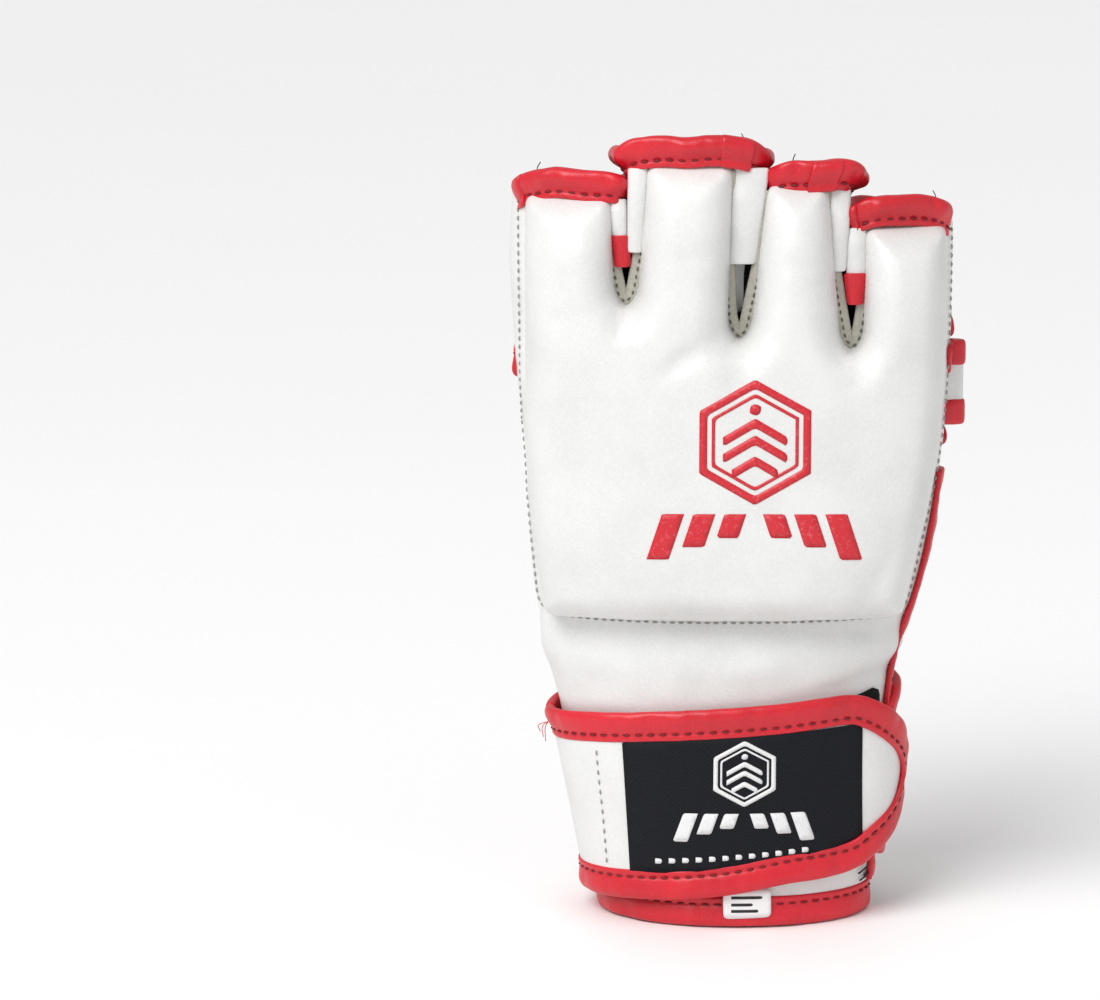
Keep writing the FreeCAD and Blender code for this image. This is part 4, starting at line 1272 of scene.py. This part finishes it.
def make_palm():
    """Palm bar, heel, side strap and their bindings."""
    top_edge = palm_path(OPENING_TOP)
    low_edge = palm_path(OPENING_LOW)
    entry_edge = palm_path(ENTRY)
    cutout_edge = palm_path(CUTOUT)
    seam = palm_path(SEAM)
    bar = np.vstack([[(ULNAR, 160.5)], top_edge, [(0.0, 150.0), (0.0, 196.0)],
                     palm_path([(-50.0, 195.6), (-40.0, 194.8), (-31.5, 194.4)]),
                     cutout_edge[::-1],
                     palm_path([(31.0, 187.0), (42.0, 187.4), (52.0, 188.0)]),
                     [(ULNAR, 188.6)]])
    palm_solid("palm_bar_skin", ["palm_bar_panel"], bar)
    seam_start = int(np.argmin(np.abs(low_edge[:, 0] - seam[0, 0])))
    entry_at = int(np.argmin(np.linalg.norm(entry_edge - seam[-1], axis=1)))
    heel = np.vstack([entry_edge[:entry_at + 1], seam[::-1][1:-1], low_edge[seam_start:],
                      [(0.0, 150.0), (0.0, 0.8)]])
    palm_solid("palm_heel_skin", ["palm_heel_panel"], heel, [thumb_loop()])
    side = np.vstack([entry_edge[entry_at:], [(ULNAR, 131.5), (ULNAR, 158.5)],
                      low_edge[:seam_start + 1], seam[1:-1]])
    palm_solid("ulnar_side_skin", ["ulnar_side_strap"], side)
    w, z = seam[:, 0] / HALF_LOOP, seam[:, 1]
    for k, shift in enumerate((-1.3, 1.3)):
        line = on_hand(w, z, np.full(len(w), 0.55)) + np.array([shift, 0, 0])
        sewn = stitches(f"side_seam_stitches_{k}", line, normal_at(w, z), WHITE_THREAD,
                        pitch=2.8, length=1.8, radius=0.24)
        finish_piece(sewn, "glove")
    top_edge = np.vstack([top_edge, [(2.4, 149.6)]])
    binding_on_hand("palm_top_fold", top_edge, True, RED, RED_THREAD, "glove",
                    ["palm_opening_top_binding"], width=7.6, fat=1.1, seed=2.0, rumple=0.34)
    binding_on_hand("palm_low_fold", low_edge, False, RED, RED_THREAD, "glove",
                    ["palm_opening_bottom_binding"], width=7.2, seed=9.0, rumple=0.34)
    binding_on_hand("entry_fold", entry_edge[5:], False, RED, RED_THREAD, "glove",
                    ["entry_slit_binding"], width=7.0, seed=14.0, rumple=0.3)
    binding_on_hand("cutout_fold", cutout_edge, False, RED, RED_THREAD, "glove",
                    ["finger_cutout_binding"], width=6.8, seed=19.0, rumple=0.36, offset=0.3)
    binding_on_hand("thumb_fold", thumb_loop(), True, RED, RED_THREAD, "glove",
                    ["thumb_hole_binding"], width=7.0, closed=True, fat=1.15, seed=25.0,
                    rumple=0.5)
    lap = thumb_loop(grow=-0.2)[42:52]
    binding_on_hand("thumb_fold_overlap", lap, True, RED, RED_THREAD, "glove",
                    width=7.2, fat=1.2, seed=28.0, rumple=0.3, offset=0.5)
    edge = [(HALF_LOOP, z) for z in np.linspace(8.2, 124.0, 40)]
    binding_on_hand("dorsal_edge_fold", edge, True, RED, RED_THREAD, "glove",
                    ["dorsal_edge_binding"], width=7.0, seed=31.0)
    hem_start = float(entry_edge[0, 0])
    hem = [(hem_start, 0.9), (0.0, 0.9), (HALF_LOOP - 0.6, 0.9)]
    binding_on_hand("cuff_hem_fold", even_path(np.array(hem), 1.3), True, RED, RED_THREAD,
                    "glove", ["cuff_hem_binding"], width=7.4, seed=36.0, rumple=0.26)


def rounded_tab(name, low, high, reach, depth, material, nodes, seed):
    """A stretch of the folded tab: an oval slab standing out of the side."""
    count = 40
    turn = np.linspace(0, 2 * math.pi, count, endpoint=False)
    start = TAB_HIGH[0] - 11.0
    middle, half_width = (start + reach) / 2, (reach - start) / 2
    levels = [low, low + 0.5, low + 1.4, (2 * low + high) / 3, (low + 2 * high) / 3,
              high - 1.4, high - 0.5, high]
    shrink = [0.55, 0.85, 1.0, 1.02, 1.02, 1.0, 0.85, 0.55]
    verts = []
    for z, share in zip(levels, shrink):
        c, s = np.cos(turn), np.sin(turn)
        ring_points = np.stack([
            middle + (half_width - (1 - share) * 1.2) * np.sign(c) * np.abs(c) ** 0.55,
            AXIS_Y + depth * share * np.sign(s) * np.abs(s) ** 0.8, np.full(count, z)], axis=1)
        ring_points[:, 1] += 0.3 * wobble(ring_points, 5.0, seed)
        verts.append(ring_points)
    made = mesh_object(name, np.vstack(verts), ring_faces(len(levels), count), material,
                       level=1)
    make_normals_outward(made)
    finish_piece(made, "glove", nodes)


def make_tab():
    """The short folded tab at the side of the palm opening."""
    reach = TAB_HIGH[0]
    rounded_tab("side_tab_leather", 137.5, 157.0, reach - 0.6, 2.0, WHITE,
                ["ulnar_tab"], 3.0)
    rounded_tab("side_tab_low_fold", 135.2, 142.6, reach, 2.9, RED,
                ["ulnar_tab_bindings"], 8.0)
    rounded_tab("side_tab_top_fold", 151.6, 158.8, reach, 2.9, RED, (), 12.0)


# ---------------------------------------------------------------- wrist strap

STRAP_BOTTOM, STRAP_TOP = 2.3, 3.65
STRAP_FOLD = 3.2
STRAP_EDGE_WIDTH = 7.5
LABEL_LAP = 0.8
WRAP_END = ULNAR - 9.0
WRAP_BEND = (("glove", "strap_wrap"), (48.0, AXIS_Y + 0.5, 35.0), (42.0, AXIS_Y + 12.0, 35.0))
FLAP_BEND = (("strap_wrap", "strap_flap"), (-52.0, AXIS_Y + 4.0, 35.0),
             (-48.0, AXIS_Y - 6.0, 35.0))
FLAP_TOP = [(0.0, 56.6), (10.0, 57.4), (28.0, 58.9), (48.0, 60.2), (66.0, 61.2), (84.0, 62.2)]
FLAP_LOW = [(0.0, 7.4), (10.0, 7.6), (28.0, 8.2), (48.0, 9.2), (66.0, 11.0), (84.0, 13.6)]


def flap_lift(w):
    """How much the flap's tip rides over the root of the strap."""
    u = np.clip((np.asarray(w) - 0.76) / 0.16, 0, 1)
    return 2.5 * u * u * (3 - 2 * u)


def wrap_lift(w):
    """How much the strap's root sinks towards the cuff it is sewn to."""
    turned = np.where(np.asarray(w) > 0.5, np.asarray(w) - 2, w)
    return -1.3 * np.clip((-0.97 - turned) / 0.06, 0, 1)


def flap_edge():
    """The flap's edge from the thumb side along the bottom, round the tip and back."""
    tip = [on_back(x, z, STRAP_FOLD) for x, z in
           ((30.0, 15.4), (36.8, 20.4), (41.4, 27.0), (43.6, 35.0), (44.0, 43.0),
            (43.2, 51.0), (40.2, 57.6), (35.6, 61.8), (30.0, 63.4))]
    first = [p for p in FLAP_LOW if p[0] < tip[0][0] - 8]
    last = [p for p in FLAP_TOP if p[0] < tip[-1][0] - 8]
    return smooth_path(first + tip + last[::-1], 1.3)


def make_strap():
    """Wrap over the palm side, flap over the back, their bindings and the cross stitches."""
    wrap_top = smooth_path([(WRAP_END, 56.0), (ULNAR, 62.0), (-112.0, 66.4), (-96.0, 68.2),
                            (-66.0, 66.0), (-34.0, 61.6), (-10.0, 57.6), (0.0, 56.6)], 1.3)
    wrap_low = smooth_path([(WRAP_END, 19.0), (ULNAR, 15.4), (-112.0, 12.4), (-96.0, 11.0),
                            (-66.0, 8.6), (-34.0, 6.8), (-10.0, 7.0), (0.0, 7.4)], 1.3)
    wrap = np.vstack([wrap_low, wrap_top[::-1]])
    patch = Patch(even_path(wrap, 2.0, closed=True), grid=2.8, rings=(0.9,))
    at = patch_places(patch)
    soft = 0.5 * wobble(at * np.array([1, 1, 0.7]), 18.0, 70.0) \
        * np.clip((patch.edge_gap - 7.0) / 7.0, 0, 1)
    soft = soft + wrap_lift(patch.w())
    panel = patch.solid("strap_wrap_skin", WHITE, STRAP_TOP + soft, STRAP_BOTTOM + soft, level=1)
    finish_piece(panel, "glove", ["strap_wrap_panel"], WRAP_BEND)
    binding_on_hand("strap_wrap_top_fold", wrap_top, False, RED, RED_THREAD, "glove",
                    ["strap_wrap_binding"], width=STRAP_EDGE_WIDTH, seed=44.0, bend=WRAP_BEND,
                    offset=lambda w: STRAP_FOLD + wrap_lift(w))
    binding_on_hand("strap_wrap_low_fold", wrap_low, True, RED, RED_THREAD, "glove",
                    width=STRAP_EDGE_WIDTH, seed=48.0, bend=WRAP_BEND,
                    offset=lambda w: STRAP_FOLD + wrap_lift(w))
    edge = flap_edge()
    patch = Patch(even_path(edge, 2.0, closed=True), grid=2.8, rings=(0.9,))
    at = patch_places(patch)
    soft = 0.35 * wobble(at, 20.0, 80.0) * np.clip((patch.edge_gap - 7.0) / 7.0, 0, 1)
    soft = soft + flap_lift(patch.w())
    panel = patch.solid("strap_flap_skin", WHITE, STRAP_TOP + soft, STRAP_BOTTOM + soft, level=1)
    finish_piece(panel, "strap_flap", ["strap_flap_panel"], FLAP_BEND)
    binding_on_hand("strap_flap_fold_edge", edge, True, RED, RED_THREAD, "strap_flap",
                    ["strap_flap_binding"], width=STRAP_EDGE_WIDTH, seed=52.0, rumple=0.34,
                    bend=FLAP_BEND, offset=lambda w: STRAP_FOLD + flap_lift(w))
    line = smooth_path([on_back(-32.8, 15.8), on_back(-34.0, 28.0), on_back(-35.4, 40.0),
                        on_back(-36.4, 49.4)], 1.0)
    w, z = line[:, 0] / HALF_LOOP, line[:, 1]
    sewn = stitches("strap_cross_stitches", on_hand(w, z, np.full(len(w), STRAP_TOP + 0.35)),
                    normal_at(w, z), PALE_THREAD, pitch=2.7, length=1.5, radius=0.24)
    finish_piece(sewn, "strap_flap")


def back_patch(outer, holes, step, grid):
    """A patch on the back of the hand from x, z outlines."""
    return Patch(loop_of(outer, back_w, step), [loop_of(h, back_w, step) for h in holes],
                 grid=grid)


def flat_piece(name, points, low, high, material, body, nodes=(), step=1.6,
               grid=2.4):
    """A thin piece lying on the back between two offsets, from an x, z outline."""
    patch = back_patch(points, (), step, grid)
    lift = flap_lift(patch.w()) if body == "strap_flap" else 0.0
    made = patch.solid(name, material, high + lift, low + lift)
    finish_piece(made, body, nodes)
    return made


def label_low_edge(places):
    """Points of the label's lower edge, just inside the flap's folded binding."""
    path = flap_edge()
    low = path[:int(np.argmax(path[:, 0])) + 1]
    slope = np.gradient(low[:, 1]) / np.gradient(low[:, 0])
    found = []
    for x in places:
        z = 18.0
        for _ in range(4):
            along = on_back(x, z, STRAP_FOLD)[0]
            steep = math.hypot(1.0, float(np.interp(along, low[:, 0], slope)))
            z = float(np.interp(along, low[:, 0], low[:, 1]))
            z += (STRAP_EDGE_WIDTH - LABEL_LAP) * steep
        found.append((x, z))
    return found


def make_tapes():
    """Loop tape on the cuff, hook tape under the flap, label and size tag."""
    tape = rounded([(-22, 15.5, 2), (38.0, 15.5, 2), (38.0, 64.6, 0.6), (24, 61.0, 8),
                    (-22, 56.5, 2)])
    flat_piece("cuff_loop_tape_pile", tape, 0.2, 1.3, TAPE, "glove",
               ["cuff_loop_tape"], step=2.0, grid=3.0)
    hook = rounded([(2, 21, 2), (28, 23, 8), (34, 40, 8), (29, 56, 8), (2, 56, 2)])
    flat_piece("strap_hook_tape_face", hook, 1.7, 2.35, TAPE,
               "strap_flap", ["strap_hook_tape"], step=2.0, grid=3.0)
    label = rounded(label_low_edge((-27.2, -18.0, -8.0, 2.0, 12.0, 21.0, 31.0))
                    + [(31.2, 56.2), (-8, 53.6), (-30.0, 52.2)])
    flat_piece("strap_label_woven", label, STRAP_TOP - 0.2, STRAP_TOP + 0.42, LABEL,
               "strap_flap", ["strap_label"], step=1.6, grid=2.4)
    tag = rounded([(-3.6, 2.6, 1.4), (9.0, 3.0, 1.4), (8.8, 10.9, 1.4), (-3.8, 10.5, 1.4)])
    flat_piece("size_tag_paper", tag, 1.75, 2.15, PAPER, "glove",
               ["size_tag"], step=0.8, grid=1.4)
    for k, (left, right, low) in enumerate(((-1.6, 6.8, 8.2), (-1.6, 4.2, 6.2),
                                            (-1.6, 5.6, 4.4))):
        bar = [(left, low), (right, low), (right, low + 0.8), (left, low + 0.8)]
        flat_piece(f"size_tag_bar_{k}", bar, 2.1, 2.22, BLACK_THREAD,
                   "glove", step=0.8, grid=1.2)


def hexagon(centre, radius):
    """Corners of a hexagon in the x, z view, one of them at the top."""
    return [(centre[0] + radius * math.cos(math.radians(a)),
             centre[1] + radius * math.sin(math.radians(a))) for a in range(30, 390, 60)]


def chevron(centre, half_width, rise, bar):
    """A V pointing up."""
    x, z = centre
    return [(x - half_width, z), (x, z + rise), (x + half_width, z),
            (x + half_width, z - bar), (x, z + rise - bar), (x - half_width, z - bar)]


def emblem_parts(centre, radius):
    """Outlines of the plain emblem: (outer, holes) pairs."""
    x, z = centre
    parts = [(hexagon(centre, radius), [hexagon(centre, radius * 0.86)]),
             (hexagon(centre, radius * 0.78), [hexagon(centre, radius * 0.72)])]
    for level, width in ((0.08, 0.50), (-0.19, 0.50), (-0.44, 0.36)):
        parts.append((chevron((x, z + radius * level), radius * width,
                              radius * width * 0.6, radius * 0.15), []))
    parts.append((hexagon((x, z + radius * 0.52), radius * 0.10), []))
    return parts


def wing_bars(middle, size):
    """Slanted bars, longer to the outside, level at their upper ends."""
    x, z = middle
    found = []
    for side in (-1, 1):
        for k, tall in enumerate((6.5, 9.0, 12.5)):
            near, far = (2.2 + k * 8.2) * size, (8.0 + k * 8.2) * size
            slant = tall * 0.32 * size
            found.append(([(x + side * near, z), (x + side * far, z),
                           (x + side * (far + slant), z - tall * size),
                           (x + side * (near + slant), z - tall * size)], []))
    return found


def print_on_pad():
    """The red print: a hexagon of chevrons over a row of bars."""
    parts = emblem_parts((3.5, 137.0), 17.0) + wing_bars((3.5, 117.5), 1.0)
    for k, (outer, holes) in enumerate(parts):
        patch = back_patch(outer, holes, 1.0, 1.6)
        at = patch_places(patch)
        level = 0.5 + pad_height(at[:, 0], at[:, 1], at[:, 2])
        made = patch.solid(f"printed_emblem_{k}", INK, level + 0.12, level - 0.2, 0,
                           PAD_SIDEWAYS)
        finish_piece(made, "glove", ["printed_emblem"] if k == 0 else ())


def weave_on_label():
    """The white woven emblem of the strap label."""
    parts = emblem_parts((1.5, 44.0), 9.3) + wing_bars((1.5, 32.8), 0.64)
    for k in range(12):
        left = -21.0 + k * 3.4
        low = 18.2 + 0.085 * (left + 21.0)
        parts.append(([(left, low), (left + 1.7, low), (left + 1.7, low + 1.4),
                       (left, low + 1.4)], []))
    for k, (outer, holes) in enumerate(parts):
        patch = back_patch(outer, holes, 0.7, 1.3)
        lift = flap_lift(patch.w())
        made = patch.solid(f"label_emblem_{k}", LABEL_THREAD, STRAP_TOP + 0.62 + lift,
                           STRAP_TOP + 0.3 + lift)
        finish_piece(made, "strap_flap")


make_base_panel()
make_wrist_panel()
make_back_layers()
make_pad()
make_slit_hems()
for each in LOOPS:
    make_finger_loop(each)
make_strips()
make_palm()
make_tab()
make_strap()
make_tapes()
print_on_pad()
weave_on_label()
make_loose_threads()


# ---------------------------------------------------------------- studio

CAMERA_PLACE = (-0.051, -1.5, 0.434)
CAMERA_AIM = (-0.051, 0.0, 0.115)
CAMERA_LENS = 184.5
SKY_STRENGTH = 0.56
SUN_ENERGY, SUN_ANGLE, SUN_WAY = 1.55, 40, (0.45, 0.55, -0.8)
# name, place, size, power
SOFT_LIGHTS = (("key", (-0.6, -0.9, 1.1), 0.7, 6.0), ("fill", (1.1, -0.9, 0.8), 1.1, 1.5))


def make_studio():
    """Pale floor, soft lights and the camera."""
    bpy.ops.mesh.primitive_plane_add(size=12.0, location=(0, 3.0, cad_box[0][2] - 0.0004))
    floor = bpy.context.object
    floor.name = "studio_floor"
    floor.data.materials.append(studio_floor("studio_floor_white"))
    world = bpy.data.worlds.new("studio_world")
    bpy.context.scene.world = world
    world.use_nodes = True
    background = world.node_tree.nodes["Background"]
    background.inputs["Color"].default_value = (1, 1, 1, 1)
    background.inputs["Strength"].default_value = SKY_STRENGTH
    sun = bpy.data.lights.new("studio_sky", "SUN")
    sun.energy = SUN_ENERGY
    sun.angle = math.radians(SUN_ANGLE)
    lamp = bpy.data.objects.new("studio_sky", sun)
    bpy.context.scene.collection.objects.link(lamp)
    lamp.rotation_euler = Vector(SUN_WAY).to_track_quat("-Z", "Y").to_euler()
    bpy.context.scene.view_settings.view_transform = "Standard"
    for name, place, size, power in SOFT_LIGHTS:
        data = bpy.data.lights.new(f"studio_{name}", "AREA")
        data.energy = power
        data.size = size
        lamp = bpy.data.objects.new(f"studio_{name}", data)
        bpy.context.scene.collection.objects.link(lamp)
        lamp.location = place
        aim = Vector((0, 0, 0.11)) - Vector(place)
        lamp.rotation_euler = aim.to_track_quat("-Z", "Y").to_euler()
    data = bpy.data.cameras.new("photo_camera")
    data.lens = CAMERA_LENS
    data.sensor_width = 36.0
    camera = bpy.data.objects.new("photo_camera", data)
    bpy.context.scene.collection.objects.link(camera)
    camera.location = CAMERA_PLACE
    aim = Vector(CAMERA_AIM) - camera.location
    camera.rotation_euler = aim.to_track_quat("-Z", "Y").to_euler()
    bpy.context.scene.camera = camera


make_studio()
